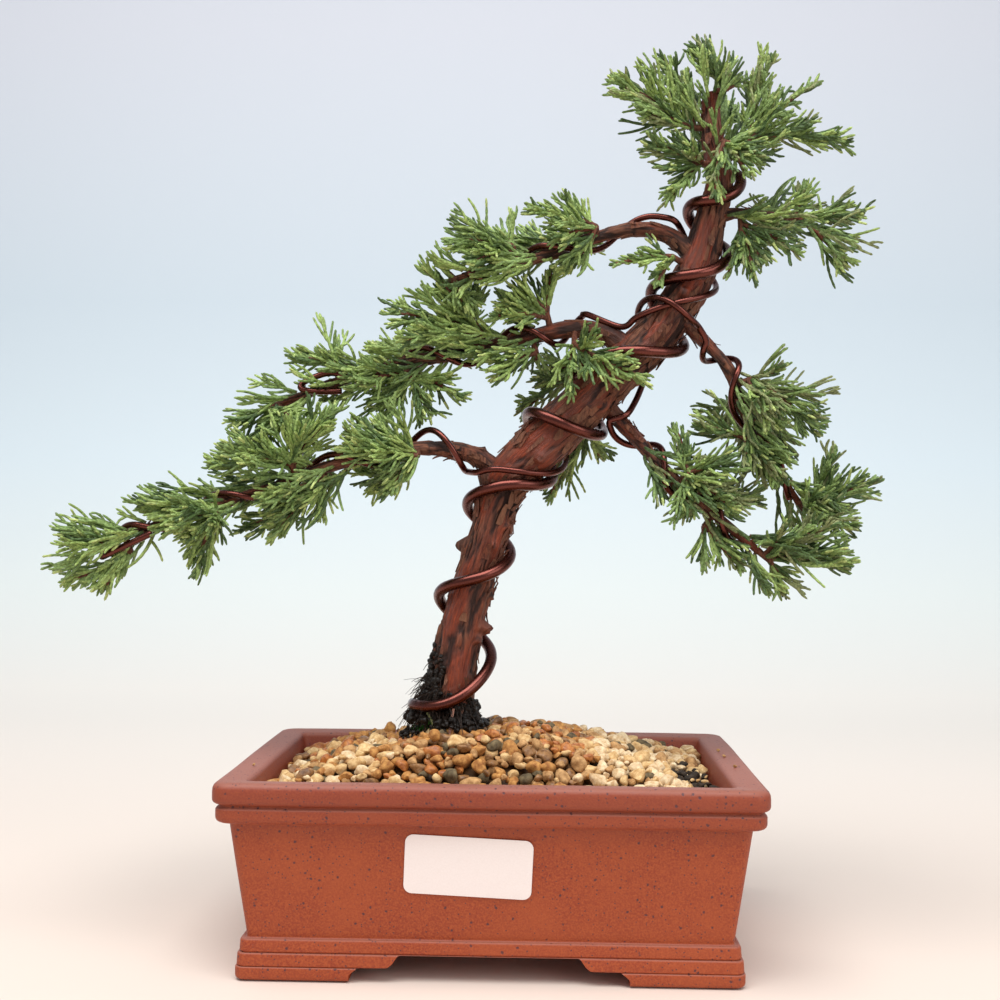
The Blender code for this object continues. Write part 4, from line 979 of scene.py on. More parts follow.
for x, y, count in ((-29.0, -9.0, 90), (-24.0, -13.0, 30), (-33.0, 4.0, 25), (-12.0, 15.0, 40),
        (-26.0, 14.0, 40)):
    for _ in range(count):
        spot = np.array([rng.gauss(x, 1.6), rng.gauss(y, 1.4), 0.0])
        spot[2] = float(mound(spot[0], spot[1])) + rng.uniform(0.6, 2.6)
        heading = unit(np.array([rng.gauss(0, 0.6), rng.gauss(-0.2, 0.6), 1.0]))
        points, faces = curved_fibre(spot, heading, rng.uniform(1.0, 2.4), 0.2, 0.22, rng, steps=3)
        moss.put("moss", points, [face for face in faces if len(face) == 4])
moss_points, moss_faces = moss.mesh("moss")
show("moss", moss_points, moss_faces, wet_peat("cushion_moss", "#16300f", "#3f7a2b", 0.6),
    ["peat_collar"], sharp=80.0)
ROOTLETS = {"pale_rootlet": ("#9fa06a", [(-27, -11, 90), (-24.5, -13, 86), (-22, -16.5, 80)]),
            "pink_rootlet": ("#b48471", [(-16.5, -13, 92), (-17.5, -14.5, 85), (-18, -17, 80)])}
for name, (colour, line) in ROOTLETS.items():
    line = spline(line, 1.0)
    points, faces = loft(along_rings(line, [0.55] * len(line), 8))
    show(name, points, faces, wet_peat(name, colour, colour, 0.5), ["peat_collar"])

# Wires: copper-brown anodised aluminium training wire. One thick length winds up the trunk, and
# thin ones each start on the trunk and wind out along a bough or a pair of boughs.
THICK = 2.35
THIN = 1.3
WIRE_GAP = 0.8
WIRE_STEP = 6.2
SHOWN_STEP = 1.1
WIRE_SIDES = 16
SNUG = 0.45
WIRE_END = 0.25
TRUNK_TURNS = [(6, 7, 30), (50, 60, 73), (88, 98, 116), (126, 133, 143), (151, 175, 190),
               (201, 212, 228), (241, 245, 256)]
WIRES = {
    "wire_lower_left": [
        ("trunk", [(134, 215, 0.2), (123, 95, 0.2), (105, -5, 0.4), (99, -60, 2.8)]),
        ("bough_lower_left", [(15, -95, 2.0), (24, 0, 1.0), (33, 90, 3.0), (43, 180, 1.0),
            (74, 450, 0.2), (117, 770, 0.2), (150, 1080, 0.4), (163, 1230, 1.0), (172, 1330, 2.0),
            (168, 1400, 2.5), (149, 1410, 3.0)])],
    "wire_left_pair": [
        ("bough_middle_left", [(124, 1030, 2.2), (145, 1100, 2.4), (130, 1170, 1.2), (39, 360, 0.2),
            (20, 90, 0.3)]),
        ("trunk", [(178, -75, 0.8), (191, -44, 0.2), (204, 21, 0.2), (212, 70, 0.2),
            (220, 150, 0.2), (231, 235, 0.6)]),
        ("bough_upper_left", [(12, 75, 1.0), (21, 100, 1.0), (60, 380, 0.2), (96, 720, 0.2)])],
    "wire_right_pair": [
        ("bough_lower_right", [(86, 560, 0.2), (39, 0, 0.2), (17, -262, 0.6), (10, -330, 1.5)]),
        ("trunk", [(154, 76, 3.2), (165, 110, 0.6), (179, 150, 0.2), (188, 240, 0.2),
            (195, 300, 1.6), (198, 335, 3.2), (196.5, 385, 3.2), (197, 420, 3.0)]),
        ("bough_upper_right", [(20, 0, 1.0), (39, 360, 0.2), (85, 720, 0.2), (93, 770, 0.2)])],
}


def resample(points, step):
    """Points at even distances along a line, close to step apart."""
    along = np.concatenate([[0.0], np.cumsum(norm(np.diff(points, axis=0), axis=1))])
    stations = np.linspace(0.0, along[-1], round(along[-1] / step) + 1)
    return np.column_stack([np.interp(stations, along, points[:, i]) for i in range(3)])


def wire_path(knots, wire_radius, gap, smoothing=0):
    """The wire's centreline: its knots, joined round each limb by even turns, then smoothed."""
    marks = []
    for before, after in zip(knots, knots[1:] + knots[-1:]):
        rows = np.array([before[1:], after[1:]], float)
        steps = 1
        if before[0] == after[0] and before != after:
            steps = max(1, math.ceil(abs(rows[1][1] - rows[0][1]) / 24.0),
                math.ceil(abs(rows[1][0] - rows[0][0]) / 8.0))
        marks += [(before[0], rows[0] + (rows[1] - rows[0]) * k / steps) for k in range(steps)]
    for _ in range(smoothing):
        inner = []
        for last, here, after in zip(marks, marks[1:], marks[2:]):
            same_limb = last[0] == here[0] == after[0]
            inner.append((here[0], (last[1] + 2 * here[1] + after[1]) / 4) if same_limb else here)
        marks = marks[:1] + inner + marks[-1:]
    points = []
    for name, (along, degrees, lift) in marks:
        limb = limbs[name]
        points.append(limb.around(along, degrees, limb.radius(along) + wire_radius + gap + lift))
    return spline(points, WIRE_STEP / 4)


def anodised_aluminium():
    """Soft aluminium wire, anodised copper-brown: a satin metal with scuffs along its length."""
    made, tree = new_material("anodised_aluminium")
    place = (add(tree, "TexCoord"), "Object")
    dye = add(tree, "TexNoise", {"Vector": place, "Scale": 1 / 0.012, "Detail": 3.0})
    scuff = add(tree, "TexNoise", {"Vector": place, "Scale": 1 / 0.0012, "Detail": 4.0})
    tone = add(tree, "Mix", {FACTOR: dye, FIRST: "#4e241d", SECOND: "#6b372d"})
    satin = add(tree, "MapRange", {"Value": scuff, "From Min": 0.3, "From Max": 0.7, "To Min": 0.24,
        "To Max": 0.32})
    shader = add(tree, "BsdfPrincipled", {"Base Color": tone, "Metallic": 1.0, "Roughness": satin,
        "Coat Weight": 0.25, "Coat Roughness": 0.22})
    add(tree, "OutputMaterial", {"Surface": shader})
    return made


winding = [("trunk", along, turn * 360 + quarter * 90 - 90, FLARE * 0.7 if turn == 0 else 0.0)
    for turn, passes in enumerate(TRUNK_TURNS) for quarter, along in enumerate(passes)]
winding.append(("trunk", TRUNK_TURNS[-1][-1] + 7, len(TRUNK_TURNS) * 360 - 170, 0.0))
routes = {"wire_trunk": (winding, THICK)}
for name, route in WIRES.items():
    routes[name] = ([(limb, *mark) for limb, marks in route for mark in marks], THIN)
ANODISED = anodised_aluminium()
paths = {}
for name, (route, radius) in routes.items():
    paths[name] = (resample(wire_path(route, radius, WIRE_GAP), WIRE_STEP), radius)
    line = resample(wire_path(route, radius, SNUG, 3), SHOWN_STEP)
    before, after = (line[1] - line[0]) * WIRE_END, (line[-1] - line[-2]) * WIRE_END
    line = np.vstack([line[:1] - before, line, line[-1:] + after])
    radii = np.full(len(line), radius)
    radii[[0, -1]] *= 0.82
    points, faces = loft(along_rings(line, radii, WIRE_SIDES))
    show(name + "_anodised", points, faces, ANODISED, [name], sharp=40.0)

# Foliage: the scale leaves of an old juniper, pressed to cord-like shoots that branch from woody
# twigs in feathery sprays. Each mass grows from one stem on a limb and fans out to its tips.
# GROWTH lists each limb's masses: where the stem stands on it, the fans' tips and half-widths.
TIP = math.inf
GROWTH = [
    ("bough_lower_left", {
        "lower_left_inner": (38, [(-64, -12, 202, 13), (-43, -15, 177, 9), (-63, 17, 189, 12),
            (-50, -22, 192, 10), (-50, -6, 207, 11)]),
        "lower_left_top": (88, [(-117, -9, 188, 14), (-97, -28, 191, 12), (-76, -18, 204, 12),
            (-64, -14, 211, 12)]),
        "lower_left_under": (78, [(-91, -12, 158, 13), (-73, -4, 168, 9), (-109, 8, 160, 11),
            (-92, -24, 172, 11)]),
        "lower_left_outer": (121, [(-137, -16, 174, 10), (-121, -10, 145, 12), (-127, -26, 162, 10),
            (-110, -24, 166, 9)]),
        "lower_left_tip": (160, [(-172, -18, 160, 8), (-172, -16, 140, 9), (-158, -12, 136, 10)]),
        "lower_left_back": (98, [(-112, 28, 175, 14), (-73, 30, 188, 12), (-134, 14, 168, 11)])}),
    ("bough_middle_left", {
        "middle_left_near": (24, [(57, -22, 222, 11), (29, -18, 217, 10)]),
        "middle_left_under": (42, [(-3, -8, 226, 13), (15, 6, 230, 9)]),
        "middle_left_main": (62, [(-46, 0, 252, 14), (-33, -6, 271, 11), (-41, -14, 238, 11)]),
        "middle_left_rise": (34, [(6, 2, 263, 13), (21, 8, 272, 7), (-1, -6, 256, 12),
            (-4, -14, 248, 10)]),
        "middle_left_mid": (68, [(-9, 8, 266, 12), (-22, 12, 258, 11)]),
        "middle_left_hang": (94, [(-48, 4, 208, 13), (-30, 0, 206, 11), (-14, -6, 216, 11),
            (-60, -10, 219, 11)]),
        "middle_left_outer": (124, [(-86, 4, 234, 11), (-68, 16, 241, 11)]),
        "middle_left_tip": (TIP, [(-107, 4, 204, 12), (-99, 8, 189, 13), (-84, 12, 194, 11),
            (-78, -4, 203, 12)]),
        "middle_left_back": (88, [(-44, 38, 241, 15), (-1, 36, 243, 14), (-72, 32, 231, 12)])}),
    ("bough_upper_left", {
        "upper_left_inner": (42, [(12, -8, 292, 11), (25, -8, 265, 11), (22, -18, 278, 10)]),
        "upper_left_mid": (76, [(-22, -10, 279, 13), (-2, 2, 287, 10), (-12, -18, 268, 10)]),
        "upper_left_tip": (TIP, [(-24, 5, 257, 8), (-12, -6, 249, 9), (-26, -4, 271, 9)]),
        "upper_left_back": (58, [(8, 28, 285, 14), (42, 26, 287, 11), (-15, 22, 276, 11)])}),
    ("trunk", {
        "upper_left_sprig": (217, [(44, -14, 268, 6), (62, -15, 260, 6)]),
        "apex_left": (277, [(43, -6, 346, 14), (55, -12, 330, 11), (65, 4, 360, 10)]),
        "apex_low_left": (262, [(57, -10, 319, 11), (66, -12, 294, 10), (76, -18, 312, 9)]),
        "apex_top": (291, [(77, 0, 360, 10), (97, -4, 344, 9)]),
        "apex_front": (268, [(84, -18, 294, 9), (104, -15, 311, 8), (98, -20, 302, 8)])}),
    ("bough_apex_right", {
        "apex_right": (TIP, [(141, -6, 320, 11), (110, 2, 358, 12), (130, 4, 348, 9)])}),
    ("trunk", {
        "apex_back": (270, [(98, 34, 345, 14), (74, 32, 326, 14), (112, 26, 321, 11)])}),
    ("bough_top_right", {
        "right_top": (TIP, [(146, -6, 290, 12), (139, -10, 268, 13), (124, 0, 304, 7)]),
        "right_top_low": (14, [(102, -10, 262, 10), (91, -10, 264, 6), (120, -14, 272, 10)]),
        "right_top_back": (20, [(124, 34, 295, 15), (110, 30, 277, 12)])}),
    ("bough_upper_right", {
        "upper_right_outer": (42, [(115, 0, 229, 10), (130, 0, 204, 13), (107, -15, 203, 10)]),
        "upper_right_inner": (63, [(78, -6, 206, 11), (98, -12, 188, 10), (112, -8, 184, 10)]),
        "upper_right_tip": (TIP, [(157, 8, 185, 12), (146, 4, 164, 11), (139, 10, 198, 10),
            (124, -8, 178, 11)]),
        "upper_right_back": (50, [(124, 36, 198, 15), (92, 34, 206, 12)])}),
    ("bough_lower_right", {
        "lower_right_inner": (48, [(93, -20, 191, 14), (71, -8, 205, 8), (75, -16, 168, 11),
            (92, -24, 172, 10)]),
        "lower_right_under": (66, [(82, -13, 151, 11), (97, -16, 148, 10)]),
        "lower_right_tip": (TIP, [(140, -14, 151, 13), (115, -10, 140, 10), (134, -18, 167, 11),
            (112, -22, 164, 10)]),
        "lower_right_back": (62, [(110, 26, 177, 14), (84, 30, 186, 12)])}),
    ("trunk", {
        "trunk_left_back": (161, [(8, 23, 213, 11), (14, 27, 230, 9)]),
        "trunk_right_back": (139, [(20, 25, 175, 9), (43, 25, 193, 8)])}),
]
MASSES = {name: (limb, *mass) for limb, masses in GROWTH for name, mass in masses.items()}
MASS_SEED = 7
STEM_LENGTH = 4.5
STEM_RADIUS = 1.5
STEM_RADII = (1.5, 1.2)
FORK_STEP = 0.9
TWIG_RADIUS = 1.3
TWIG_RADII = (1.15, 0.7)
TWIG_LEAST = 0.5
SHOOT_AHEAD = 0.45
SHOOT_ANGLE = math.radians(44)
CLEAR = 0.5
GAP = 0.3
# Sprays: leafy shoots set round the twigs this often, tried shorter until they find room.
SPRAY_STEP = 2.7
SPRAY_ANGLE = math.radians(30)
SPRAYS_A_STEP = 2
SPRAY_TRIALS = (1.0, 0.78, 0.56, 0.36)
CORD_RADIUS = 0.78
SIDE_CORD_RADIUS = 0.66
LEADER_SHARE = 0.16
LEADER_STRETCH = 1.3
SIDE_SPACING = 4.2
SCALE_PITCH = 1.65
WOODY_SHARE = 0.16
TIP_RINGS = 3
SHOOT_BEND = 0.34
SHOOT_GAP = 0.1
# Chances of a fresh tip on a leading and on a side shoot, at the left and elsewhere.
LEFT_TIPS = (0.30, 0.16)
OTHER_TIPS = (0.18, 0.10)
# Side shoots: the share left out, the shares of the leader's length they take at its end and
# further back, their shortest and longest, and their angles to it in degrees.
SIDES_LEFT_OUT = 0.36
SIDE_SHARES = (0.34, 0.42)
SIDE_LENGTHS = (4.5, 16.0)
SIDE_ANGLES = (20, 42)
REGIONS = {"lower_left": "left", "middle_left": "left", "upper_left": "left",
           "apex": "top", "right_top": "right", "upper_right": "right", "lower_right": "right",
           "trunk": "right"}
LEAF_COLOURS = {"deep": "#536d36", "green": "#7f9a50", "fresh": "#9ab35c", "tip": "#b4c46f",
                "olive": "#8b945c"}
# How far out along its limb each bough's wood stays bare.
BARE = {"bough_lower_left": 44.0, "bough_middle_left": 38.0, "bough_upper_left": 42.0,
        "bough_lower_right": 28.0, "bough_upper_right": 36.0, "bough_top_right": 8.0,
        "bough_apex_right": 5.0, "trunk": 262.0}
# Sprays that grow straight from a limb, beyond its bare wood: how often, the sides of the limb
# they start from in degrees, and their lengths; then the count and lengths at a fan's foot.
COVER_STEP = 2.0
COVER_SIDES = ((-85, 0), (0, 85), (110, 250))
COVER_SPRAYS = (12.0, 21.0)
KNUCKLE_COUNT = 3
KNUCKLE_SPRAYS = (10.0, 16.0)
SHADES = {"left": (("deep", 0.20), ("green", 0.42), ("fresh", 0.38)),
          "top": (("deep", 0.24), ("green", 0.44), ("olive", 0.14), ("fresh", 0.18)),
          "right": (("deep", 0.32), ("green", 0.34), ("olive", 0.22), ("fresh", 0.12))}


class Space:
    """What is already there: round-ended segments, each with its owner."""

    def __init__(self):
        self.starts = np.zeros((0, 3))
        self.ends = np.zeros((0, 3))
        self.radii = np.zeros(0)
        self.owners = np.zeros(0, dtype="<U32")
        self.axis_points = np.zeros((0, 3))
        self.axis_owners = np.zeros(0, dtype="<U32")

    def add(self, points, radii, owner):
        points = np.array(points, float)
        self.starts = np.vstack([self.starts, points[:-1]])
        self.ends = np.vstack([self.ends, points[1:]])
        self.radii = np.concatenate([self.radii, np.maximum(radii[:-1], radii[1:])])
        self.owners = np.append(self.owners, [owner] * (len(points) - 1))

    def room(self, start, end, radius, owner):
        """The least clearance between a new segment and everything that others own."""
        foreign = self.owners != owner
        low, high = self.starts[foreign], self.ends[foreign]
        span = high - low
        square = np.maximum((span ** 2).sum(1), 1e-9)
        points = start + (end - start) * np.linspace(0.0, 1.0, 9)[:, None]
        away = points[:, None] - low
        t = np.clip((away * span).sum(-1) / square, 0.0, 1.0)
        return (norm(away - span * t[..., None], axis=-1) - self.radii[foreign]).min() - radius

    def nearest(self, point):
        """The mass whose fans a point lies nearest to."""
        return self.axis_owners[((self.axis_points - point) ** 2).sum(axis=1).argmin()]


def bezier(start, control, end, count):
    """Points along a curve that leaves the start towards the control point."""
    shares = np.linspace(0.0, 1.0, count)[:, None]
    return (1 - shares) ** 2 * start + 2 * shares * (1 - shares) * control + shares ** 2 * end


def plan_mass(name, space):
    """Lay out a mass's stem and the bent main twigs of its fans, clear of what is there."""
    limb_name, along, fans = MASSES[name]
    limb = limbs[limb_name]
    tips = np.array([fan[:3] for fan in fans], float)
    at_tip = along == TIP
    along = min(along, limb.length)
    centre = limb.centre(along)
    tangent, front, right = limb.frame(along)
    outward = tips.mean(axis=0) - centre
    if at_tip:
        outward = tangent
        root = centre + (GAP + 0.1) * outward
    else:
        outward = unit(outward - outward.dot(tangent) * tangent)
        seat = limb.radius(along)
        if limb_name == "trunk":
            seat *= bark_share(math.atan2(outward.dot(right), outward.dot(front)), along)
        root = centre + (seat + GAP + 0.1) * outward
    knuckle = root + STEM_LENGTH * outward
    space.add([root + 1.6 * outward, knuckle], [STEM_RADIUS, STEM_RADIUS], name)
    twigs = []
    for number, (tip, fan) in enumerate(zip(tips, fans)):
        fork = knuckle - number * FORK_STEP * outward
        chord = tip - fork
        chord *= max(TWIG_LEAST, 1.0 - SHOOT_AHEAD * fan[3] / norm(chord))
        across = unit(np.cross(chord, (0.0, 0.0, 1.0)))
        above = np.cross(unit(chord), across)
        best = None
        for bow in (0.10, 0.22, 0.36):
            for turn in range(8):
                angle = math.pi / 4 * turn + math.pi / 2
                aside = math.cos(angle) * across - math.sin(angle) * above
                control = fork + 0.45 * chord + bow * norm(chord) * aside
                line = bezier(fork, control, fork + chord, 5)
                least = min(space.room(a, b, TWIG_RADIUS, name) for a, b in zip(line, line[1:]))
                if best is None or least > best[0]:
                    best = (least, line)
            if best[0] > CLEAR:
                break
        twigs.append(best[1])
    return root, knuckle, twigs


def shoot(line, base_radius, shades, rng, heap):
    """A leafy cord: rings turned half a scale from one to the next, and a pointed end."""
    line = resample(line, SCALE_PITCH)
    count = len(line)
    if count < 3:
        return
    tangents = np.gradient(line, axis=0)
    tangents /= norm(tangents, axis=1)[:, None]
    side = np.cross(tangents[0], (0.31, 0.22, 0.92))
    sides = side - (tangents @ side)[:, None] * tangents
    sides /= norm(sides, axis=1)[:, None]
    others = np.cross(tangents, sides)
    radii = base_radius * (1.0 - 0.28 * np.linspace(0.0, 1.0, count) ** 2)
    radii[0] *= 0.7
    turns = (math.pi / 2 * np.arange(4) + math.pi / 4 * (np.arange(count) % 2)[:, None]
        + rng.uniform(0, 1.5))
    rings = line[:, None] + radii[:, None, None] * (np.cos(turns)[..., None] * sides[:, None]
        + np.sin(turns)[..., None] * others[:, None])
    bounds = [(0, count, shades[0])]
    if shades[1] and count > TIP_RINGS + 1:
        bounds = [(0, count - TIP_RINGS + 1, shades[0]), (count - TIP_RINGS, count, shades[1])]
    for low, high, shade in bounds:
        points = rings[low:high].reshape(-1, 3)
        faces = []
        for i in range(high - low - 1):
            even = (low + i) % 2 == 0
            for k in range(4):
                a, b = 4 * i + k, 4 * i + (k + 1) % 4
                c, d = a + 4, 4 * (i + 1) + (k + 1) % 4
                faces += [(a, b, c), (b, d, c)] if even else [(a, b, d), (a, d, c)]
        if high == count:
            points = np.vstack([points, line[-1] + tangents[-1] * radii[-1] * 1.3])
            top = 4 * (high - low - 1)
            faces += [(top + k, top + (k + 1) % 4, len(points) - 1) for k in range(4)]
        if low == 0:
            faces += [(0, 2, 1), (0, 3, 2)]
        heap.put(shade, points, faces)


def bent(start, heading, towards, length, rng):
    """A line that leaves along a heading and bends towards another direction."""
    shares = np.linspace(0.0, 1.0, 6)[:, None]
    wander = stray(rng, 0.13)
    line = shares * heading + shares ** 2 * (SHOOT_BEND * (towards - heading) + wander)
    return start + length * line / norm(line[-1])


def deal(region, rng, lighter=0.0):
    """A shade for one spray, dealt by chance from its region's mixture."""
    draw = rng.random() * (1 - lighter) + lighter
    for shade, share in SHADES[region]:
        draw -= share
        if draw <= 0:
            return shade
    return SHADES[region][-1][0]


def fits(line, owner, space):
    """Whether a shoot stays in its mass's space and off the limbs and wires."""
    middle = line[len(line) // 2]
    if space.nearest(line[-1]) != owner or space.nearest(middle) != owner:
        return False
    start = line[0] + 0.15 * (line[-1] - line[0])
    halves = ((start, middle), (middle, line[-1]))
    return min(hard.room(low, high, CORD_RADIUS, owner) for low, high in halves) > SHOOT_GAP


def grow_spray(start, heading, tangent, length, owner, region, space, rng, heap, wood):
    """A first shoot with its side shoots in the plane of the spray."""
    lift = np.array([0.0, 0.0, 0.35])
    if rng.random() < LEADER_SHARE:
        length *= LEADER_STRETCH
    for share in SPRAY_TRIALS:
        line = bent(start, heading, unit(tangent + lift), share * length, rng)
        if fits(line, owner, space):
            break
    else:
        return
    length *= share
    shade = deal(region, rng)
    tips = LEFT_TIPS if region == "left" else OTHER_TIPS
    tip = "tip" if rng.random() < tips[0] else None
    woody = resample(line[:3], 1.2)
    cut = max(2, round(len(woody) * WOODY_SHARE * 2.2))
    wood.put("twig", *tube(woody[:cut + 1], 0.62, 0.5))
    shoot(line, CORD_RADIUS, (shade, tip), rng, heap)
    points = resample(line, SIDE_SPACING)
    normal = unit(np.cross(heading, tangent) + 0.35 * stray(rng, 1))
    for i in range(1, len(points) - 1):
        along = unit(points[i + 1] - points[i - 1])
        across = unit(np.cross(normal, along))
        for hand in (1, -1):
            if rng.random() < SIDES_LEFT_OUT:
                continue
            left = 1.0 - i / (len(points) - 1)
            reach = (SIDE_SHARES[0] + SIDE_SHARES[1] * left) * length * rng.uniform(0.7, 1.15)
            reach = min(max(reach, SIDE_LENGTHS[0]), SIDE_LENGTHS[1], 0.95 * left * length + 1.5)
            angle = math.radians(rng.uniform(*SIDE_ANGLES))
            out = math.cos(angle) * along + math.sin(angle) * hand * across
            out = unit(out + 0.16 * stray(rng, 1))
            spot = points[i] + along * rng.uniform(-0.6, 0.6)
            twiglet = bent(spot, out, along, reach, rng)
            if fits(twiglet, owner, space):
                side_tip = "tip" if rng.random() < tips[1] else None
                side_shade = shade if rng.random() < 0.7 else deal(region, rng, 0.25)
                shoot(twiglet, SIDE_CORD_RADIUS, (side_shade, side_tip), rng, heap)


def tube(line, start_radius, end_radius, sides=5):
    """A plain woody tube along a line, as points and triangles."""
    rings = along_rings(line, np.linspace(start_radius, end_radius, len(line)), sides)
    faces = []
    for i in range(len(line) - 1):
        for k in range(sides):
            a, b = sides * i + k, sides * i + (k + 1) % sides
            faces += [(a, b, b + sides), (a, b + sides, a + sides)]
    points = np.vstack([rings.reshape(-1, 3), line[:1], line[-1:]])
    last = sides * (len(line) - 1)
    for k in range(sides):
        faces.append((len(points) - 2, (k + 1) % sides, k))
        faces.append((len(points) - 1, last + k, last + (k + 1) % sides))
    return points, faces


def leaf(name, colour):
    """Scale leaves: waxy, semi-gloss, each about a millimetre long, with painted shade in the creases
    where the scales meet.
    """
    made, tree = new_material(name)
    place = (add(tree, "TexCoord"), "Object")
    scale = add(tree, "TexVoronoi", {"Vector": place, "Scale": 1 / 0.0011})
    edge = add(tree, "MapRange", {"Value": scale, "From Min": 0.25, "From Max": 0.75})
    cloud = add(tree, "TexNoise", {"Vector": place, "Scale": 1 / 0.007, "Detail": 3.0})
    bloom = add(tree, "MapRange", {"Value": cloud, "From Min": 0.35, "From Max": 0.65})
    dark = add(tree, "HueSaturation", {"Value": 0.75, "Color": colour})
    pale = add(tree, "HueSaturation", {"Value": 1.3, "Saturation": 0.92, "Color": colour})
    tone = add(tree, "Mix", {FACTOR: bloom, FIRST: dark, SECOND: pale})
    # Painted shade in the creases between the scales: darker at each cell's edge.
    painted_scale_shade = add(tree, "HueSaturation", {"Value": 0.58, "Color": tone})
    scaly = add(tree, "Mix", {FACTOR: edge, FIRST: tone, SECOND: painted_scale_shade})
    relief = add(tree, "Bump", {"Height": scale, "Strength": 0.6, "Distance": 0.0004}, invert=True)
    shader = add(tree, "BsdfPrincipled", {"Base Color": scaly, "Roughness": 0.55, "IOR": 1.45,
        "Normal": relief})
    add(tree, "OutputMaterial", {"Surface": shader})
    return made


space = Space()
for name, limb in limbs.items():
    keep = slice(None, None, 3)
    extra = FLARE if name == "trunk" else 0.0
    space.add(limb.points[keep], limb.radii[keep] + extra * (limb.distance[keep] < 20), name)
for name, (path, radius) in paths.items():
    space.add(path, [radius] * len(path), name)
# The limbs and wires alone, which every shoot stays off.
hard = copy.copy(space)
plans = {}
for name in MASSES:
    root, knuckle, twigs = plan_mass(name, space)
    for number, line in enumerate(twigs):
        space.add(line, [TWIG_RADIUS] * len(line), f"{name} {number}")
        samples = np.vstack([line[:-1], (line[:-1] + line[1:]) / 2])
        space.axis_points = np.vstack([space.axis_points, samples])
        space.axis_owners = np.append(space.axis_owners, [name] * len(samples))
    plans[name] = (root, knuckle, twigs)

LEAVES = {shade: leaf("scale_leaves_" + shade, colour) for shade, colour in LEAF_COLOURS.items()}
for prefix, region in REGIONS.items():
    owned = [name for name in MASSES if name.startswith(prefix)]
    leaves, wood = Heap(), Heap()
    for name in owned:
        root, knuckle, twigs = plans[name]
        rng = random.Random(MASS_SEED + list(MASSES).index(name))
        inward = unit(root - knuckle)
        wood.put("twig", *tube(np.array([root + inward * 1.4, root, knuckle]), *STEM_RADII, 8))
        for number, line in enumerate(twigs):
            width = MASSES[name][2][number][3]
            points = resample(line, SPRAY_STEP)
            count = len(points) - 1
            wood.put("twig", *tube(points, *TWIG_RADII, 6))
            roll = rng.uniform(0, 2 * math.pi)
            for i in range(1, count + 1):
                tangent = unit(points[i] - points[i - 1])
                side = unit(np.cross(tangent, (0.2, 0.1, 1.0)))
                other = np.cross(tangent, side)
                for k in range(SPRAYS_A_STEP):
                    roll += 2 * math.pi / SPRAYS_A_STEP + rng.uniform(-0.35, 0.35)
                    out = math.cos(roll) * side + math.sin(roll) * other
                    angle = SPRAY_ANGLE * rng.uniform(0.4, 1.6)
                    reach = width * (1.5 - 1.05 * i / count) / math.sin(SHOOT_ANGLE)
                    reach *= rng.uniform(0.62, 0.98)
                    heading = math.cos(angle) * tangent + math.sin(angle) * out
                    grow_spray(points[i], heading, tangent, reach, name, region, space, rng, leaves, wood)
                roll += 0.55
            chord = unit(line[-1] - line[0])
            for _ in range(KNUCKLE_COUNT):
                start = root + rng.uniform(0.5, 1.0) * (knuckle - root)
                off = np.cross(chord, inward) * rng.uniform(-1, 1)
                heading = unit(chord + 0.8 * off - 0.4 * inward)
                grow_spray(start - 0.8 * heading, heading, chord, rng.uniform(*KNUCKLE_SPRAYS), name,
                    region, space, rng, leaves, wood)
            end = unit(points[-1] - points[-2])
            grow_spray(points[-1], end, end, SHOOT_AHEAD * width, name, region, space, rng, leaves, wood)
    for name in {MASSES[owner][0]: None for owner in owned}:
        limb = limbs[name]
        for along in np.arange(BARE[name], limb.length, COVER_STEP):
            for degrees in [rng.uniform(*side) for side in COVER_SIDES]:
                start = limb.around(along, degrees, limb.radius(along) + 0.8)
                owner = space.nearest(start)
                if owner not in owned:
                    continue
                tangent = limb.frame(along)[0]
                heading = unit(unit(start - limb.centre(along)) + rng.uniform(0.7, 1.5) * tangent)
                grow_spray(start, heading, tangent, rng.uniform(*COVER_SPRAYS), owner, region, space, rng,
                    leaves, wood)
    masses = ["foliage_" + name for name in owned]
    for shade in sorted(leaves.count):
        points, faces = leaves.mesh(shade)
        show(f"leaves_{prefix}_{shade}", points, faces, LEAVES[shade], masses, sharp=0.0)
    points, faces = wood.mesh("twig")
    wooden = show("twigs_" + prefix, points, faces, BARK, masses, sharp=60.0)
    lay_bark(wooden, points, np.full(len(points), 0.5), np.full(len(points), 0.75))


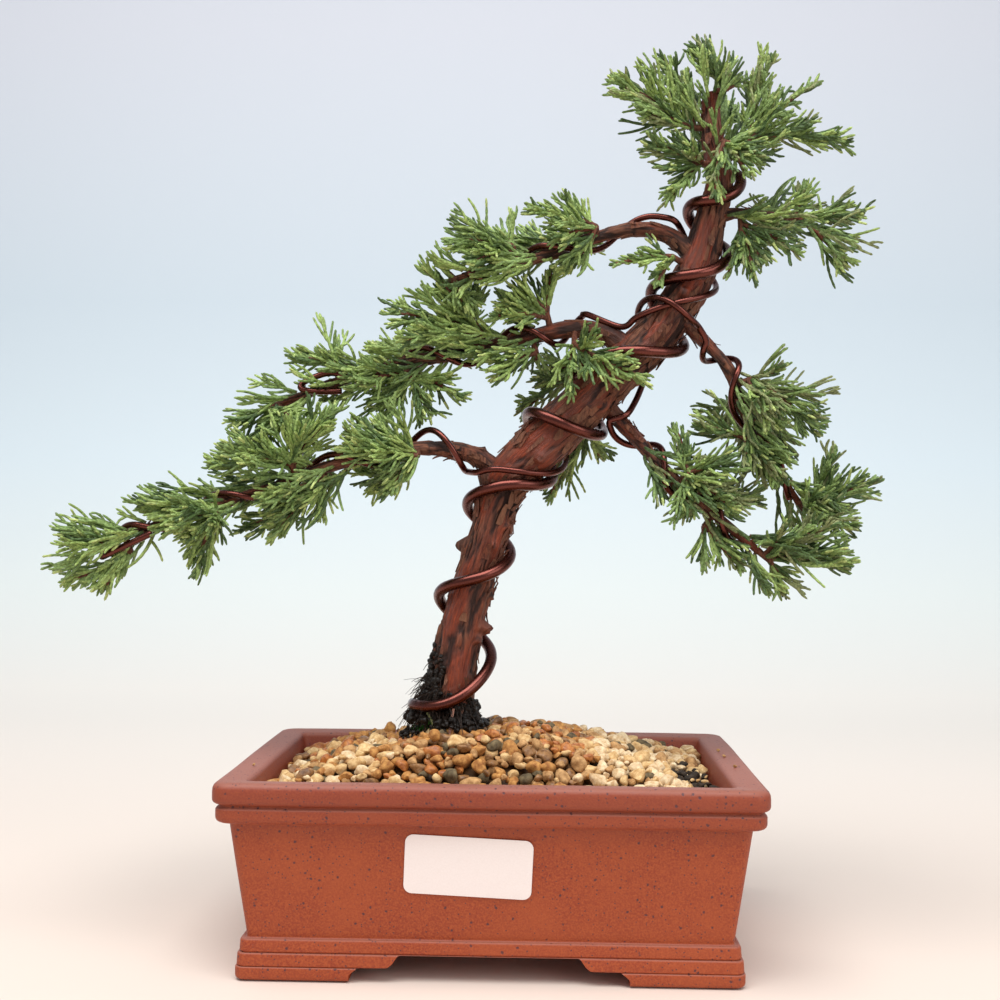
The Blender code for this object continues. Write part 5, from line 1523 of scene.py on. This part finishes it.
# Studio: a pale sweep of seamless paper under and behind the tray, curved up at the back, with
# soft light from above the camera, a weaker lamp at the right and the room's pale walls.
def seamless_paper():
    """Matt paper, warm white on the floor and cool blue up the back, with painted fall-off of light:
    darker at its front edge and greyer up the back.
    """
    made, tree = new_material("seamless_paper")
    place = (add(tree, "TexCoord"), "Object")
    split = add(tree, "SeparateXYZ", {"Vector": place})
    way = add(tree, "Math", {0: (split, "Y"), 1: (split, "Z")}, operation="ADD")
    share = add(tree, "MapRange", {"Value": way, "From Min": 0.0, "From Max": 2.0})
    # The ramp's changes in brightness are painted light: darker at the front edge of the floor and greyer
    # up the back.
    ramp = add(tree, "ValToRGB", {"Fac": share})
    for position, colour in ((0.0, "#e0d0c3"), (0.37, "#f1ebe2"), (0.52, "#e9eeea"), (0.65, "#dde9ee"),
            (0.77, "#d2dee6"), (0.94, "#dbdfe7")):
        stop = ramp.color_ramp.elements.new(position)
        stop.color = linear(colour)
    ramp.color_ramp.elements.remove(ramp.color_ramp.elements[0])
    ramp.color_ramp.elements.remove(ramp.color_ramp.elements[-1])
    shader = add(tree, "BsdfPrincipled", {"Base Color": ramp, "Roughness": 0.9})
    add(tree, "OutputMaterial", {"Surface": shader})
    return made


SWEEP_WIDE = 3.0
SWEEP_PROFILE = rounded([(-2.0, 0.0, 0.0), (1.1, 0.0, 0.5), (1.1, 2.4, 0.0)], steps=16)
sweep = bpy.data.meshes.new("studio_sweep")
corners = [(side * SWEEP_WIDE, y, z - 0.0005) for y, z in SWEEP_PROFILE for side in (-1, 1)]
sweep.from_pydata(corners, [], [(i, i + 1, i + 3, i + 2) for i in range(0, len(corners) - 2, 2)])
sweep.materials.append(seamless_paper())
sweep.shade_smooth()
floor = put_in_scene("studio_sweep", sweep)

world = bpy.data.worlds.new("studio_air")
world.use_nodes = True
air = world.node_tree.nodes["Background"]
air.inputs["Color"].default_value = linear("#eef3fb")
air.inputs["Strength"].default_value = 0.55
bpy.context.scene.world = world


def softbox(name, place, aim, size, watts):
    """A rectangular lamp, in metres, that looks at a point."""
    lamp = bpy.data.lights.new(name, "AREA")
    lamp.shape = "RECTANGLE"
    lamp.size, lamp.size_y = size
    lamp.energy = watts
    made = put_in_scene(name, lamp)
    made.location = place
    made.rotation_euler = (Vector(aim) - Vector(place)).to_track_quat("-Z", "Y").to_euler()


softbox("overhead_softbox", (-0.15, -0.45, 1.25), (0.0, 0.0, 0.15), (1.2, 0.8), 19.0)
softbox("fill_softbox", (0.9, -0.8, 0.7), (0.0, 0.0, 0.15), (0.8, 0.8), 5.0)
